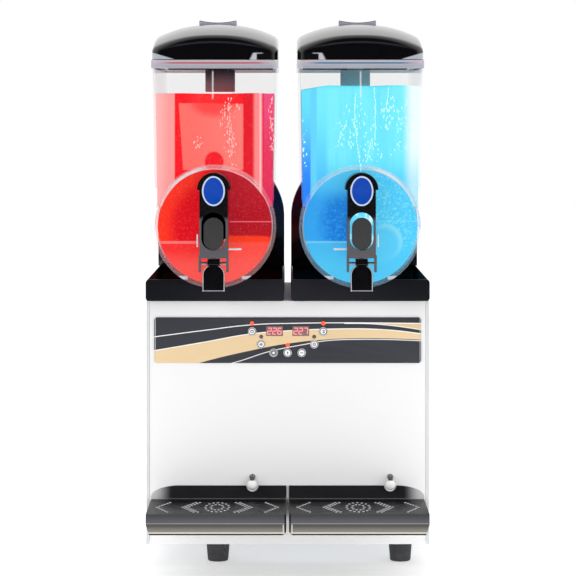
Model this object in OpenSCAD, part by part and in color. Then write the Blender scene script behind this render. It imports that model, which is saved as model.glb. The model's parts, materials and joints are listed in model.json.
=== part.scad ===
// Twin-bowl counter-top slush machine.
// +Z is up, the taps face -Y, and the origin is under the middle of the whole machine.

/* [Cabinet] */
// Width of the cabinet
cab_w = 420; // [400:5:520]
// Depth of the cabinet, without the drip trays
cab_d = 440; // [430:5:560]
// Height of the cabinet, from the bottom edge of its panels to the top deck
cab_h = 362; // [300:2:460]
// Thickness of the sheet steel
sheet_t = 1.2; // [0.8:0.1:2]
// Width of the side panels' folded front edges
side_fold = 4.5; // [3:0.5:10]
// Height of the rubber feet
foot_h = 30; // [20:1:60]
// Radius at the top of a rubber foot
foot_r = 18; // [12:0.5:22]
// Place of the left feet, from the middle of the cabinet
foot_left_x = -104.5; // [-170:0.5:-60]
// Place of the right feet, from the middle of the cabinet
foot_right_x = 169; // [60:1:180]

/* [Bowls] */
// Distance between the middles of the two bowls
bay_pitch = 216; // [212:1:250]
// Height of the bowl base trays
base_h = 32; // [24:1:50]
// Width of one bowl base tray
base_w = 206; // [200:1:211]
// Inner radius of the tank's drum
drum_r = 85; // [80:1:88]
// Height of the drum's axis above the top deck
axis_h = 111; // [106:1:130]
// Wall of the clear tank
tank_wall = 3; // [2:0.5:4]
// Depth of the clear tank
tank_d = 370; // [320:5:380]
// Width of the tank at its rim
tank_top_w = 184; // [180:1:190]
// Width of the tank at its waist, just above the drum
tank_waist_w = 178; // [176:1:180]
// Height of the tank's rim above the top deck
tank_h = 358; // [300:2:420]
// How far the tank's front stands out from the cabinet's front
tank_front = 18; // [14:1:30]
// Radius of the evaporator drum
evap_r = 60; // [50:1:64]
// Gap between the scraper and the walls on both sides of it
scraper_gap = 2; // [1:0.5:4]
// Pitch of the scraper's helix
scraper_pitch = 110; // [80:5:160]
// Radius of the drive shaft
shaft_r = 8; // [6:0.5:10]

/* [Lid] */
// Height of the lid's side above the rim
lid_side_h = 14; // [8:1:24]
// Height of the lid's front arch above its sides
lid_arch_h = 21; // [12:1:34]
// Height of the lid's crown above its front arch
lid_crown_h = 23; // [10:1:34]
// Wall of the lid
lid_wall = 2.5; // [2:0.5:4]
// Length of the lid's handle
handle_w = 58; // [40:1:80]
// Height of the lid's handle above the crown
handle_h = 8; // [6:1:16]

/* [Tap] */
// Width of the tap's cover
tap_w = 41; // [40:1:46]
// Radius of the cap on the tap's cover
cap_r = 24; // [22:0.5:28]
// How far the tap's cover stands out from the tank
tap_out = 64; // [62:1:76]
// Radius of the piston
piston_r = 10; // [8:0.5:11]
// Width of the lever's paddle
paddle_w = 32.5; // [26:0.5:34]
// Height of the lever's paddle
paddle_h = 40; // [32:1:50]

/* [Drip tray] */
// How far the drip trays stand out from the cabinet
tray_out = 150; // [130:2:200]
// Width of one drip tray
tray_w = 201; // [190:1:204]
// Height of the drip tray's front face
tray_h = 17; // [14:1:30]
// Height of the drip grid's front band
grid_h = 13; // [10:1:20]
// Height of the tray's floor level above the cabinet's bottom edge
tray_z = 37.5; // [20:0.5:80]

/* [Controls] */
// Width of the control panel
panel_w = 397; // [380:1:408]
// Height of the control panel
panel_h = 68; // [64:1:80]
// Distance from the control panel's middle down from the top deck
panel_drop = 58.5; // [50:0.5:90]
// Radius of a push button
button_r = 6.1; // [4:0.1:7]
// Travel of a push button
button_travel = 0.8; // [0.4:0.1:1.2]

/* [Clearances] */
// Gap between parts that slide or turn past each other
slide_gap = 0.4; // [0.3:0.05:0.6]
// Radial clearance of a shaft in its bore
shaft_fit = 0.08; // [0.05:0.01:0.1]

/* [Hidden] */
$fn = 64;
cut = 1;
sides = ["left", "right"];

// Cabinet planes. The machine's whole depth is centred on the origin.
front_y = (tray_out - cab_d) / 2;
back_y = front_y + cab_d;
bottom_z = foot_h;
deck_z = bottom_z + cab_h;
half_w = cab_w / 2;
panel_gap = 0.4;
fold_gap = 0.2;
rear_recess = 6;
rear_fold = 12;
floor_lift = 4;
foot_y = 35;
foot_inset = 35;
foot_taper = 2.6;
foot_edge = 1.5;
stud_r = 5;
stud_gap = 0.2;

// Bowl planes
bay_x = bay_pitch / 2;
base_front_y = front_y - 8;
base_top_z = deck_z + base_h;
base_wall = 3;
axis_z = deck_z + axis_h;
tank_front_y = front_y - tank_front;
tank_back_y = tank_front_y + tank_d;
drum_out_r = drum_r + tank_wall;
flange_r = drum_out_r + 3;
flange_t = 5;
rim_z = deck_z + tank_h;
rim_h = 12.5;
rim_w = tank_top_w + 4;
front_wall = 4;
corner_r = 9;
housing_y = tank_back_y + 4;
housing_back_y = back_y - 2;
housing_r = base_w / 2 - 0.5;
housing_wall = 3;
evap_front_y = tank_front_y + 36;
evap_wall = 2;
ribbon_r = drum_r - scraper_gap;
ribbon_in_r = evap_r + scraper_gap;
ribbon_t = 5;
ring_t = 6;
ring_y = evap_front_y - 6 - ring_t;
seal_t = 4;
spigot_r = drum_r - 9;
spigot_wall = 5;
motor_collar_r = 20;
motor_w = 74;
motor_gap = 10;

// Lid
lid_z = rim_z + slide_gap;
lid_w = rim_w - 1;
lid_y0 = tank_front_y - 2;
lid_y1 = tank_back_y + 2;
lid_top_z = lid_z + lid_side_h + lid_arch_h + lid_crown_h;
handle_y = (lid_y0 + lid_y1) / 2;
handle_d = 26;
lamp_w = 47;
lamp_d = 30;
lamp_h = 35;
lamp_y = tank_back_y - 62;
lamp_z = rim_z - 44;

// Tap
cover_front_y = tank_front_y - tap_out;
cover_back_y = tank_front_y - 0.2;
cap_z = axis_z + 57;
cover_z = axis_z - 43.5;
cover_wall = 2.5;
block_y = tank_front_y - 26;
block_r = piston_r + slide_gap + 2.2;
block_top_z = cap_z + 14;
block_z = cover_z - 8;
outlet_r = 7;
spout_r = 9.5;
seat_z = cover_z + 3;
window_w = 35.5;
window_z0 = cover_z + 11.5;
window_z1 = window_z0 + 55.5;
pad_w = 28.8;
pad_h = 47;
pad_z = window_z0 + 0.7;
pad_recess = 0.8;
piston_top_z = seat_z + 52;
ear_x = 18.3;
ear_t = 3.6;
pivot_y = cover_front_y + 7;
pivot_z = cover_z - 7.5;
pin_r = 2;
lever_arm = 14;
arm_x = 6;
lever_r = 4.5;
paddle_t = 4;
paddle_top_z = pivot_z - 1;
lift_bar_z = pivot_z + 3;
spring_r = 7.5;
spring_wire = 1.2;
spring_turns = 7;

// Drip tray
tray_y0 = front_y - tray_out;
tray_y1 = front_y - 0.5;
tray_z0 = bottom_z + tray_z;
tray_rim_z = tray_z0 + tray_h;
tray_top_z = tray_rim_z + grid_h;
tray_x = tray_w / 2 + 2;
tray_wall = 2.5;
tray_draft = 5;
tray_corner = 7;
upstand_h = 20;
upstand_t = 4;
upstand_sweep = 42;
upstand_rise = 17;
tongue_x = 60;
tongue_w = 20;
tongue_t = 2;
tongue_l = 8;
tongue_z = tray_rim_z - 6;
tongue_gap = 1;
spout_out_x = 50;
spout_ball_r = 7.5;
spout_z = tray_top_z + upstand_h + 2.5;
spout_y = front_y - 14;
spout_pipe_r = 3.5;
spout_drop = 10;
spout_collar_r = 4.4;
spout_bore_r = 1.6;
spout_gap = 0.2;
spout_notch = spout_ball_r + 2;
grid_hole_r = 1.5;

// Controls
panel_t = 2;
panel_z = deck_z - panel_drop;
panel_y = front_y - panel_t;
button_at = [[-53, 13], [-39.5, -6], [-20.9, -18.7], [0, -18.7], [20.9, -18.7], [39.5, -6], [53, 13]];
led_at = [[-53, 25], [0, -7], [53, 25], [-39.4, 5.2], [39.4, 5.2]];
display_at = [[-19.5, 13.5], [19.5, 13.5]];
led_r = 3;
hole_gap = 1.2;
display_w = 25;
display_h = 14.5;
board_y = front_y + 14;
board_w = 150;
board_h = 58;

// Inside of the cabinet
comp_r = 62;
comp_h = 150;
comp_x = -110;
comp_y = front_y + 300;
cond_w = 150;
cond_h = 190;
cond_x = 105;
cond_y = front_y + 80;
cond_d = 44;
cond_tubes = 5;
fan_r = 66;
fan_y = cond_y + cond_d + 24;
fan_z = bottom_z + 125;
fan_hub_r = 20;
fan_t = 20;
fan_blades = 5;
blade_twist = 28;
blade_w = 30;
fan_shaft_r = 4;
fan_motor_r = 18;
bracket_w = 28;
switch_x = -150;
switch_z = bottom_z + 70;
switch_w = 30;
switch_h = 22;
gland_x = 150;
gland_z = bottom_z + 60;
gland_r = 9;
cord_bore_r = 4.5;
screw_r = 4;
screw_head = 2.4;
screw_low_head = 1.8;
cable_hole_r = 14;

// ---- Shared shapes ----

// A block between two corners.
module block(x, y, z) {
    translate([x[0], y[0], z[0]]) cube([x[1] - x[0], y[1] - y[0], z[1] - z[0]]);
}

// A cylinder along Y, from y0 to y1.
module rod_y(r, y0, y1, x = 0, z = 0) {
    translate([x, y0, z]) rotate([-90, 0, 0]) cylinder(r = r, h = y1 - y0);
}

// A cylinder along X, from x0 to x1.
module rod_x(r, x0, x1, y = 0, z = 0) {
    translate([x0, y, z]) rotate([0, 90, 0]) cylinder(r = r, h = x1 - x0);
}

// A flat outline in X and Z, made solid from y0 to y1.
module upright(y0, y1) {
    translate([0, y1, 0]) rotate([90, 0, 0]) linear_extrude(height = y1 - y0) children();
}

// A rectangle with round corners.
module round_rect(x0, x1, z0, z1, r) {
    translate([x0 + r, z0]) square([x1 - x0 - 2 * r, z1 - z0]);
    translate([x0, z0 + r]) square([x1 - x0, z1 - z0 - 2 * r]);
    for (x = [x0 + r, x1 - r], z = [z0 + r, z1 - r]) {
        translate([x, z]) circle(r = r);
    }
}

// A slot with round ends, of the given length and width, along X.
module slot(len, w) {
    translate([-(len - w) / 2, -w / 2]) square([len - w, w]);
    for (x = [-1, 1]) {
        translate([x * (len - w) / 2, 0]) circle(r = w / 2);
    }
}

// An oval outline.
module oval(w, h) {
    polygon([for (i = [0:47]) [w / 2 * cos(i * 7.5), h / 2 * sin(i * 7.5)]]);
}

// Puts a left-hand part in its place; the right-hand one is its mirror image.
module at_bay(side) {
    if (side == "left") {
        translate([-bay_x, 0, 0]) children();
    } else {
        mirror([1, 0, 0]) translate([-bay_x, 0, 0]) children();
    }
}

// Makes a closed solid through rings of points that have the same number of points each.
module skin(rings) {
    n = len(rings[0]);
    m = len(rings);
    points = [for (r = rings, p = r) p];
    near = [for (i = [0:m - 2], j = [0:n - 1]) [i * n + j, i * n + (j + 1) % n, (i + 1) * n + j]];
    far = [for (i = [0:m - 2], j = [0:n - 1])
        [i * n + (j + 1) % n, (i + 1) * n + (j + 1) % n, (i + 1) * n + j]];
    first = [for (j = [n - 1:-1:0]) j];
    last = [for (j = [0:n - 1]) (m - 1) * n + j];
    polyhedron(points = points, faces = concat(near, far, [first], [last]), convexity = 6);
}

// ---- Cabinet ----

module chassis() {
    color("silver") difference() {
        union() {
            block([-half_w + 3, half_w - 3], [front_y + 3, back_y - rear_recess - 3],
                [bottom_z + floor_lift, bottom_z + floor_lift + 2]);
            for (x = [-half_w + 3, half_w - 5]) {
                block([x, x + 2], [front_y + 20, back_y - 20], [bottom_z + floor_lift, bottom_z + 26]);
            }
        }
        for (x = [foot_left_x, foot_right_x], y = [front_y + foot_y, back_y - foot_inset]) {
            translate([x, y, bottom_z]) cylinder(r = stud_r + stud_gap, h = 20);
        }
    }
}

// Tapered rubber feet with a rounded lower edge, on studs that hold them to the floor pan.
module feet() {
    top_z = bottom_z + floor_lift;
    toe_r = foot_r - foot_taper;
    color("#1c1c1e")
    for (x = [foot_left_x, foot_right_x], y = [front_y + foot_y, back_y - foot_inset]) {
        translate([x, y, 0]) {
            cylinder(r1 = toe_r - foot_edge, r2 = toe_r, h = foot_edge);
            translate([0, 0, foot_edge]) cylinder(r1 = toe_r, r2 = foot_r, h = top_z - foot_edge);
            translate([0, 0, top_z]) cylinder(r = stud_r, h = 6);
        }
    }
}

module side_panel(dir) {
    outer = dir * half_w;
    fold_top_z = deck_z - sheet_t - fold_gap;
    louvre_n = 9;
    louvre_pitch = 14;
    color("gainsboro") difference() {
        union() {
            block([min(outer, outer - dir * sheet_t), max(outer, outer - dir * sheet_t)],
                [front_y, back_y], [bottom_z, deck_z]);
            block([min(outer, outer - dir * side_fold), max(outer, outer - dir * side_fold)],
                [front_y, front_y + sheet_t], [bottom_z, fold_top_z]);
            block([min(outer, outer - dir * rear_fold), max(outer, outer - dir * rear_fold)],
                [back_y - rear_recess - sheet_t, back_y - rear_recess], [bottom_z, fold_top_z]);
        }
        for (i = [0:louvre_n - 1], y = [front_y + cab_d * 0.3, front_y + cab_d * 0.7]) {
            translate([outer, y, bottom_z + 70 + i * louvre_pitch]) rotate([90, 0, 90])
                translate([0, 0, -10]) linear_extrude(height = 20) slot(110, 5);
        }
    }
}

module front_panel() {
    x1 = half_w - side_fold - panel_gap;
    color("whitesmoke") difference() {
        block([-x1, x1], [front_y, front_y + sheet_t], [bottom_z, deck_z - sheet_t]);
        for (p = button_at) {
            rod_y(button_r + hole_gap, front_y - cut, front_y + 5, p[0], panel_z + p[1]);
        }
        for (p = led_at) {
            rod_y(led_r + hole_gap / 2, front_y - cut, front_y + 5, p[0], panel_z + p[1]);
        }
        for (p = display_at) {
            block([p[0] - display_w / 2 - 1, p[0] + display_w / 2 + 1], [front_y - cut, front_y + 5],
                [panel_z + p[1] - display_h / 2 - 1, panel_z + p[1] + display_h / 2 + 1]);
        }
        for (dir = [-1, 1], k = [-1, 1]) {
            x = dir * tray_x + k * tongue_x;
            block([x - tongue_w / 2 - tongue_gap, x + tongue_w / 2 + tongue_gap],
                [front_y - cut, front_y + 5],
                [tongue_z - tongue_gap - 0.5, tongue_z + tongue_t + tongue_gap]);
        }
        for (dir = [-1, 1]) {
            rod_y(spout_pipe_r + spout_gap, front_y - cut, front_y + 5, dir * tray_x + spout_out_x,
                spout_z + spout_drop);
        }
    }
}

// Rear panel with a vent grille, the switch's opening and the gland's hole.
module rear_panel() {
    x1 = half_w - sheet_t - panel_gap;
    y0 = back_y - rear_recess;
    color("gainsboro") difference() {
        block([-x1, x1], [y0, y0 + sheet_t], [bottom_z, deck_z - sheet_t]);
        for (i = [0:11], x = [-60, 60]) {
            translate([x, 0, bottom_z + 110 + i * 14]) upright(y0 - 5, y0 + 5) slot(100, 6);
        }
        block([switch_x - switch_w / 2, switch_x + switch_w / 2], [y0 - 5, y0 + 5],
            [switch_z - switch_h / 2, switch_z + switch_h / 2]);
        rod_y(gland_r, y0 - 5, y0 + 5, gland_x, gland_z);
    }
}

// Top deck: a tray of sheet steel, with a passage under each gear motor.
module top_deck() {
    x1 = half_w - sheet_t;
    color("whitesmoke") difference() {
        union() {
            block([-x1, x1], [front_y, back_y], [deck_z - sheet_t, deck_z]);
            block([-x1 + 5, x1 - 5], [front_y + 3, front_y + 3 + sheet_t], [deck_z - 18, deck_z - sheet_t]);
        }
        for (dir = [-1, 1]) {
            translate([dir * bay_x, (housing_y + housing_back_y) / 2, deck_z - 5])
                cylinder(r = cable_hole_r, h = 10);
        }
    }
}

// ---- Controls ----

module control_panel() {
    color("#3a3b40") difference() {
        upright(panel_y, front_y) translate([0, panel_z])
            round_rect(-panel_w / 2, panel_w / 2, -panel_h / 2, panel_h / 2, 4.5);
        for (p = button_at) {
            rod_y(button_r + slide_gap, panel_y - cut, front_y + cut, p[0], panel_z + p[1]);
        }
        for (p = led_at) {
            rod_y(led_r, panel_y - cut, front_y + cut, p[0], panel_z + p[1]);
        }
        for (p = display_at) {
            block([p[0] - display_w / 2, p[0] + display_w / 2], [panel_y - cut, front_y + cut],
                [panel_z + p[1] - display_h / 2, panel_z + p[1] + display_h / 2]);
        }
    }
}

// A push button: a cap in the panel's hole and a stem that ends just short of its switch.
module button(i) {
    p = button_at[i - 1];
    cap_end_y = front_y + sheet_t + 2.2;
    color("white") union() {
        rod_y(button_r, panel_y - 1.4, cap_end_y, p[0], panel_z + p[1]);
        rod_y(2.5, cap_end_y - 1, board_y - 3 - button_travel - 0.4, p[0], panel_z + p[1]);
    }
}

module displays() {
    color("firebrick") for (p = display_at) {
        block([p[0] - display_w / 2 + 0.2, p[0] + display_w / 2 - 0.2], [panel_y + 0.6, board_y - 0.2],
            [panel_z + p[1] - display_h / 2 + 0.2, panel_z + p[1] + display_h / 2 - 0.2]);
    }
}

module indicator_leds() {
    color("red") for (p = led_at) {
        rod_y(led_r - 0.1, panel_y + 0.4, board_y, p[0], panel_z + p[1]);
        translate([p[0], panel_y + 0.6, panel_z + p[1]]) sphere(r = led_r - 0.4);
    }
}

// Circuit board with one tactile switch behind each button, and a few parts.
module control_board() {
    color("darkgreen") union() {
        block([-board_w / 2, board_w / 2], [board_y, board_y + 1.6],
            [panel_z - board_h / 2, panel_z + board_h / 2 + 4]);
        for (p = button_at) {
            block([p[0] - 3, p[0] + 3], [board_y - 3, board_y], [panel_z + p[1] - 3, panel_z + p[1] + 3]);
        }
        for (i = [0:4]) {
            block([-60 + i * 26, -46 + i * 26], [board_y + 1.6, board_y + 9], [panel_z - 12, panel_z + 12]);
        }
        for (x = [-board_w / 2 + 5, board_w / 2 - 5]) {
            rod_y(2.5, front_y + sheet_t, board_y + cut, x, panel_z - board_h / 2 + 6);
        }
    }
}

// Condensate spouts: a short pipe through the front panel that ends in a ball nozzle.
module drain_spouts() {
    color("white") for (dir = [-1, 1]) {
        x = dir * tray_x + spout_out_x;
        pipe_z = spout_z + spout_drop;
        pipe_y = front_y + 16;
        difference() {
            union() {
                rod_y(spout_pipe_r, spout_y, pipe_y, x, pipe_z);
                translate([x, spout_y, pipe_z]) sphere(r = spout_pipe_r);
                translate([x, spout_y, spout_z]) cylinder(r = spout_pipe_r, h = spout_drop);
                translate([x, spout_y, spout_z]) sphere(r = spout_ball_r);
                rod_y(spout_collar_r, front_y - 2, front_y, x, pipe_z);
            }
            rod_y(spout_bore_r, spout_y, pipe_y + cut, x, pipe_z);
            translate([x, spout_y, spout_z - spout_ball_r - cut])
                cylinder(r = spout_bore_r, h = spout_ball_r + cut + spout_drop);
        }
    }
}

// ---- Inside of the cabinet ----

// Hermetic compressor: a can with a dished top, on three lugs.
module compressor() {
    z0 = bottom_z + floor_lift + 2;
    color("#26282b") translate([comp_x, comp_y, z0]) union() {
        translate([0, 0, 14]) cylinder(r = comp_r, h = comp_h - 14 - 20);
        translate([0, 0, comp_h - 20]) cylinder(r1 = comp_r, r2 = comp_r - 22, h = 20);
        translate([0, 0, 6]) cylinder(r1 = comp_r - 16, r2 = comp_r, h = 8);
        for (a = [90, 210, 330]) {
            rotate([0, 0, a]) translate([comp_r - 20, -14, 0]) cube([28, 28, 8]);
        }
        translate([comp_r - 16, 0, comp_h - 30]) cylinder(r = 5, h = 45);
        translate([-comp_r + 4, -22, comp_h / 2]) cube([14, 44, 50]);
    }
}

// Condenser: vertical fins between two end plates, with the tube runs through them.
module condenser() {
    fin_n = 14;
    fin_pitch = (cond_w - 6) / (fin_n - 1);
    z0 = bottom_z + floor_lift + 2;
    color("silver") translate([cond_x - cond_w / 2, cond_y, z0]) union() {
        for (i = [0:fin_n - 1]) {
            translate([2 + i * fin_pitch, 0, 4]) cube([2, cond_d, cond_h - 4]);
        }
        for (i = [0:cond_tubes - 1]) {
            rod_x(4.5, -6, cond_w + 6, cond_d / 2, 24 + i * (cond_h - 40) / (cond_tubes - 1));
        }
        cube([cond_w, cond_d, 4]);
        for (x = [0, cond_w - 2]) {
            translate([x, 0, 0]) cube([2, cond_d, cond_h]);
        }
    }
}

module fan() {
    color("black") difference() {
        union() {
            rod_y(fan_hub_r, fan_y, fan_y + fan_t, cond_x, fan_z);
            for (i = [0:fan_blades - 1]) {
                translate([cond_x, fan_y + fan_t / 2, fan_z]) rotate([0, i * 360 / fan_blades, 0])
                    translate([0, 0, fan_r / 2 + 6]) rotate([0, 0, blade_twist])
                        cube([blade_w, 2, fan_r - 12], center = true);
            }
        }
        rod_y(fan_shaft_r + shaft_fit, fan_y - cut, fan_y + fan_t - 3, cond_x, fan_z);
    }
}

// Fan motor on a bracket that stands on the floor pan.
module fan_motor() {
    y0 = fan_y - 20;
    z0 = bottom_z + floor_lift + 2;
    color("dimgray") union() {
        rod_y(fan_motor_r, y0, fan_y - 4, cond_x, fan_z);
        rod_y(fan_shaft_r, fan_y - 5, fan_y + fan_t - 6, cond_x, fan_z);
        block([cond_x - bracket_w / 2, cond_x + bracket_w / 2], [y0, y0 + 2], [z0, fan_z]);
        block([cond_x - bracket_w / 2, cond_x + bracket_w / 2], [y0, y0 + 30], [z0, z0 + 2]);
    }
}

// Rocker of the mains switch, with two tilted faces over a round back.
module power_switch() {
    x = switch_w / 2 - 1;
    z = switch_h / 2 - 1.8;
    color("#202124") translate([switch_x, back_y - rear_recess + sheet_t / 2, switch_z]) union() {
        rod_x(7, -x, x);
        for (k = [-1, 1]) {
            rotate([k * 14, 0, 0]) block([-x, x], [-2, 5], [min(0, k * z), max(0, k * z)]);
        }
    }
}

// Gland for the mains lead: a threaded body through the panel with a hexagonal nut outside.
module cable_gland() {
    y0 = back_y - rear_recess;
    color("#1c1c1e") difference() {
        union() {
            rod_y(gland_r - 0.1, y0 - 14, y0 + sheet_t + 1, gland_x, gland_z);
            translate([gland_x, y0 + sheet_t, gland_z]) rotate([-90, 0, 0])
                cylinder(r = gland_r + 5, h = rear_recess - sheet_t - 0.2, $fn = 6);
            rod_y(gland_r + 4, y0 - 5, y0 - 0.1, gland_x, gland_z);
        }
        rod_y(cord_bore_r, y0 - 20, back_y + cut, gland_x, gland_z);
    }
}

// Screws that hold the rear panel and the two rear housings.
module panel_screws() {
    y0 = back_y - rear_recess + sheet_t;
    x1 = half_w - sheet_t - 10;
    color("silver") {
        for (x = [-x1, x1], z = [bottom_z + 14, bottom_z + cab_h / 2, deck_z - 16]) {
            rod_y(screw_r, y0, y0 + screw_head, x, z);
        }
        for (dir = [-1, 1], k = [-1, 1]) {
            rod_y(screw_r, housing_back_y, housing_back_y + screw_low_head,
                dir * bay_x + k * (housing_r - 14), base_top_z + 12);
        }
    }
}

// ---- Bowls ----

module gear_motors() {
    y0 = housing_y + housing_wall + motor_gap;
    y1 = housing_back_y - housing_wall - 3;
    color("#55585c") for (side = sides) {
        at_bay(side) difference() {
            union() {
                block([-motor_w / 2, motor_w / 2], [y0, y1], [axis_z - motor_w / 2, axis_z + motor_w / 2]);
                rod_y(motor_collar_r, housing_y + housing_wall, y0, 0, axis_z);
                translate([0, (y0 + y1) / 2, axis_z - motor_w / 2 - 32]) cylinder(r = 26, h = 32);
            }
            rod_y(shaft_r + shaft_fit, housing_y, y0 + 30, 0, axis_z);
        }
    }
}

// The sealing rings: one in each tank's drum and one on each drive shaft.
module bowl_seals() {
    color("#8a8d90") for (side = sides) {
        at_bay(side) {
            difference() {
                rod_y(drum_r - slide_gap, tank_back_y - 10, housing_y, 0, axis_z);
                rod_y(spigot_r, tank_back_y - 11, housing_y + cut, 0, axis_z);
            }
            difference() {
                rod_y(shaft_r + 6, evap_front_y - seal_t, evap_front_y, 0, axis_z);
                rod_y(shaft_r + slide_gap, evap_front_y - seal_t - cut, evap_front_y + cut, 0, axis_z);
            }
        }
    }
}

module bowl_base(side) {
    inner_w = base_w / 2 - base_wall;
    color("#17181a") at_bay(side) difference() {
        upright(base_front_y, housing_back_y) round_rect(-base_w / 2, base_w / 2, deck_z, base_top_z, 5);
        block([-inner_w, inner_w], [base_front_y + base_wall, housing_back_y - base_wall],
            [deck_z + base_wall, base_top_z + cut]);
        rod_y(drum_out_r + 1.5, base_front_y - cut, base_front_y + base_wall + cut, 0, axis_z);
        translate([0, (housing_y + housing_back_y) / 2, deck_z - cut])
            cylinder(r = cable_hole_r, h = base_wall + 2 * cut);
    }
}

// Outline of the rear housing: straight sides with a round top about the drum's axis.
module housing_outline(inset) {
    r = housing_r - inset;
    z0 = base_top_z - (inset > 0 ? cut : 0);
    translate([0, axis_z]) circle(r = r);
    translate([-r, z0]) square([2 * r, axis_z - z0]);
}

module rear_housing(side) {
    color("#141517") at_bay(side) difference() {
        union() {
            intersection() {
                upright(housing_y, housing_back_y) housing_outline(0);
                block([-housing_r, housing_r], [housing_y, housing_back_y], [base_top_z, axis_z + housing_r]);
            }
            rod_y(spigot_r - 0.1, tank_back_y - 12, housing_y + cut, 0, axis_z);
        }
        intersection() {
            upright(housing_y + housing_wall, housing_back_y - housing_wall) housing_outline(housing_wall);
            block([-housing_r, housing_r], [housing_y, housing_back_y],
                [base_top_z - cut, axis_z + housing_r]);
        }
        rod_y(spigot_r - spigot_wall, tank_back_y - 9, housing_y + cut, 0, axis_z);
        rod_y(motor_collar_r + 0.5, housing_y - cut, housing_y + 10, 0, axis_z);
        rod_y(shaft_r + 1, tank_back_y - 20, housing_y, 0, axis_z);
        for (i = [0:5]) {
            translate([0, 0, axis_z - 30 + i * 14])
                upright(housing_back_y - 5, housing_back_y + cut) slot(110, 6);
        }
    }
}

// Evaporator: a hollow stainless drum, closed in front, with a tube for the drive shaft.
module evaporator(side) {
    len = tank_back_y - 12 - evap_front_y;
    bore = shaft_r + shaft_fit;
    tube = shaft_r + 5;
    shell = evap_r - evap_wall;
    color("silver") at_bay(side) translate([0, evap_front_y, axis_z]) rotate([-90, 0, 0]) rotate_extrude()
        polygon([[bore, 0], [evap_r - 8, 0], [evap_r, 8], [evap_r, len], [shell, len], [shell, 9],
            [shell - 7, evap_wall + 1], [tube, evap_wall + 1], [tube, len], [bore, len]]);
}

// One four-cornered section of the scraper's ribbon, a degrees round and y along the axis.
function ribbon_ring(a, y) =
    [for (p = [[ribbon_in_r, 0], [ribbon_in_r, ribbon_t], [ribbon_r, ribbon_t], [ribbon_r, 0]])
        [p[0] * cos(a), y + p[1], axis_z + p[0] * sin(a)]];

// Scraper: a helical ribbon round the evaporator, on a front ring with three spokes.
module auger(side) {
    y0 = ring_y + 0.5;
    y1 = tank_back_y - 14 - ribbon_t;
    turn = 360 * (y1 - y0) / scraper_pitch;
    steps = ceil(turn / 15);
    color("white") at_bay(side) difference() {
        union() {
            skin([for (i = [0:steps]) ribbon_ring(turn * i / steps, y0 + (y1 - y0) * i / steps)]);
            translate([0, ring_y, axis_z]) rotate([-90, 0, 0]) rotate_extrude()
                translate([ribbon_in_r + 0.6, 0]) square([ribbon_r - ribbon_in_r - 1.2, ring_t]);
            for (a = [0, 120, 240]) {
                translate([0, ring_y, axis_z]) rotate([0, a, 0]) translate([-4, 0, 0])
                    cube([8, ring_t - 0.5, ribbon_in_r + 4]);
            }
            translate([0, ring_y - 8, axis_z]) rotate([-90, 0, 0]) cylinder(r1 = 9, r2 = 17, h = 8);
            rod_y(17, ring_y, ring_y + ring_t + 1, 0, axis_z);
            for (a = [20, 200]) {
                translate([0, 0, axis_z]) rotate([0, a, 0])
                    block([ribbon_in_r + 8, ribbon_in_r + 14], [ring_y + 1, y1], [-3, 3]);
            }
        }
        block([-5.6, 5.6], [ring_y - 3, evap_front_y], [axis_z - 5.6, axis_z + 5.6]);
    }
}

// Drive shaft, with a square end that drives the scraper.
module drive_shaft(side) {
    y0 = evap_front_y - seal_t - 0.6;
    color("silver") at_bay(side) union() {
        rod_y(shaft_r, y0, housing_y + housing_wall + motor_gap + 26, 0, axis_z);
        block([-5.5, 5.5], [ring_y - 2.8, y0 + cut], [axis_z - 5.5, axis_z + 5.5]);
    }
}

// Outline of the tank's box, which stands over the drum. inset is 0 outside and the wall inside.
module tank_box(inset) {
    waist = tank_waist_w / 2 - inset;
    top = tank_top_w / 2 - inset;
    z0 = axis_z + 54 + inset;
    r = corner_r - inset;
    z1 = rim_z + (inset > 0 ? cut : 0);
    polygon([[-waist + r, z0], [waist - r, z0], [waist, z0 + r], [top, z1], [-top, z1], [-waist, z0 + r]]);
    for (x = [-waist + r, waist - r]) {
        translate([x, z0 + r]) circle(r = r);
    }
}

module tank(side) {
    color("#dfe9ee", 0.35) at_bay(side) difference() {
        union() {
            upright(tank_front_y, tank_back_y) tank_box(0);
            rod_y(drum_out_r, tank_front_y + 1, tank_back_y, 0, axis_z);
            rod_y(flange_r, tank_front_y, tank_front_y + flange_t, 0, axis_z);
            block([-rim_w / 2, rim_w / 2], [tank_front_y - 2, tank_back_y + 2], [rim_z - rim_h, rim_z]);
            translate([0, block_y, cover_z + 1]) cylinder(r = block_r, h = block_top_z - cover_z - 1);
            translate([0, block_y, block_z]) cylinder(r = spout_r, h = 12);
            block([-8, 8], [block_y, tank_front_y + 1], [cover_z + 1, block_top_z - 20]);
        }
        upright(tank_front_y + front_wall, tank_back_y - tank_wall) tank_box(tank_wall);
        rod_y(drum_r, tank_front_y + front_wall + 1, tank_back_y + cut, 0, axis_z);
        translate([0, block_y, seat_z]) cylinder(r = piston_r + slide_gap, h = block_top_z - seat_z + cut);
        translate([0, block_y, block_z - cut]) cylinder(r = outlet_r, h = seat_z - block_z + 2 * cut);
        rod_y(5.5, block_y, tank_front_y + front_wall + cut, 0, seat_z + 10);
        block([-3 - slide_gap, 3 + slide_gap], [block_y - block_r - cut, block_y],
            [pad_z + 12 - slide_gap, pad_z + 32 + 9]);
    }
}

// ---- Lid ----

// Height of the lid's top at a place along its depth, at its middle line.
function crown(y) = lid_crown_h * (1 - pow(abs(2 * (y - handle_y) / (lid_y1 - lid_y0)), 2.2));

// Half of the lid's width at a place along its depth, with round corners in plan.
function lid_half(y, y0, y1, r) =
    let (d = min(y - y0, y1 - y, r)) lid_w / 2 - r + sqrt(r * r - (r - d) * (r - d));

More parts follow.
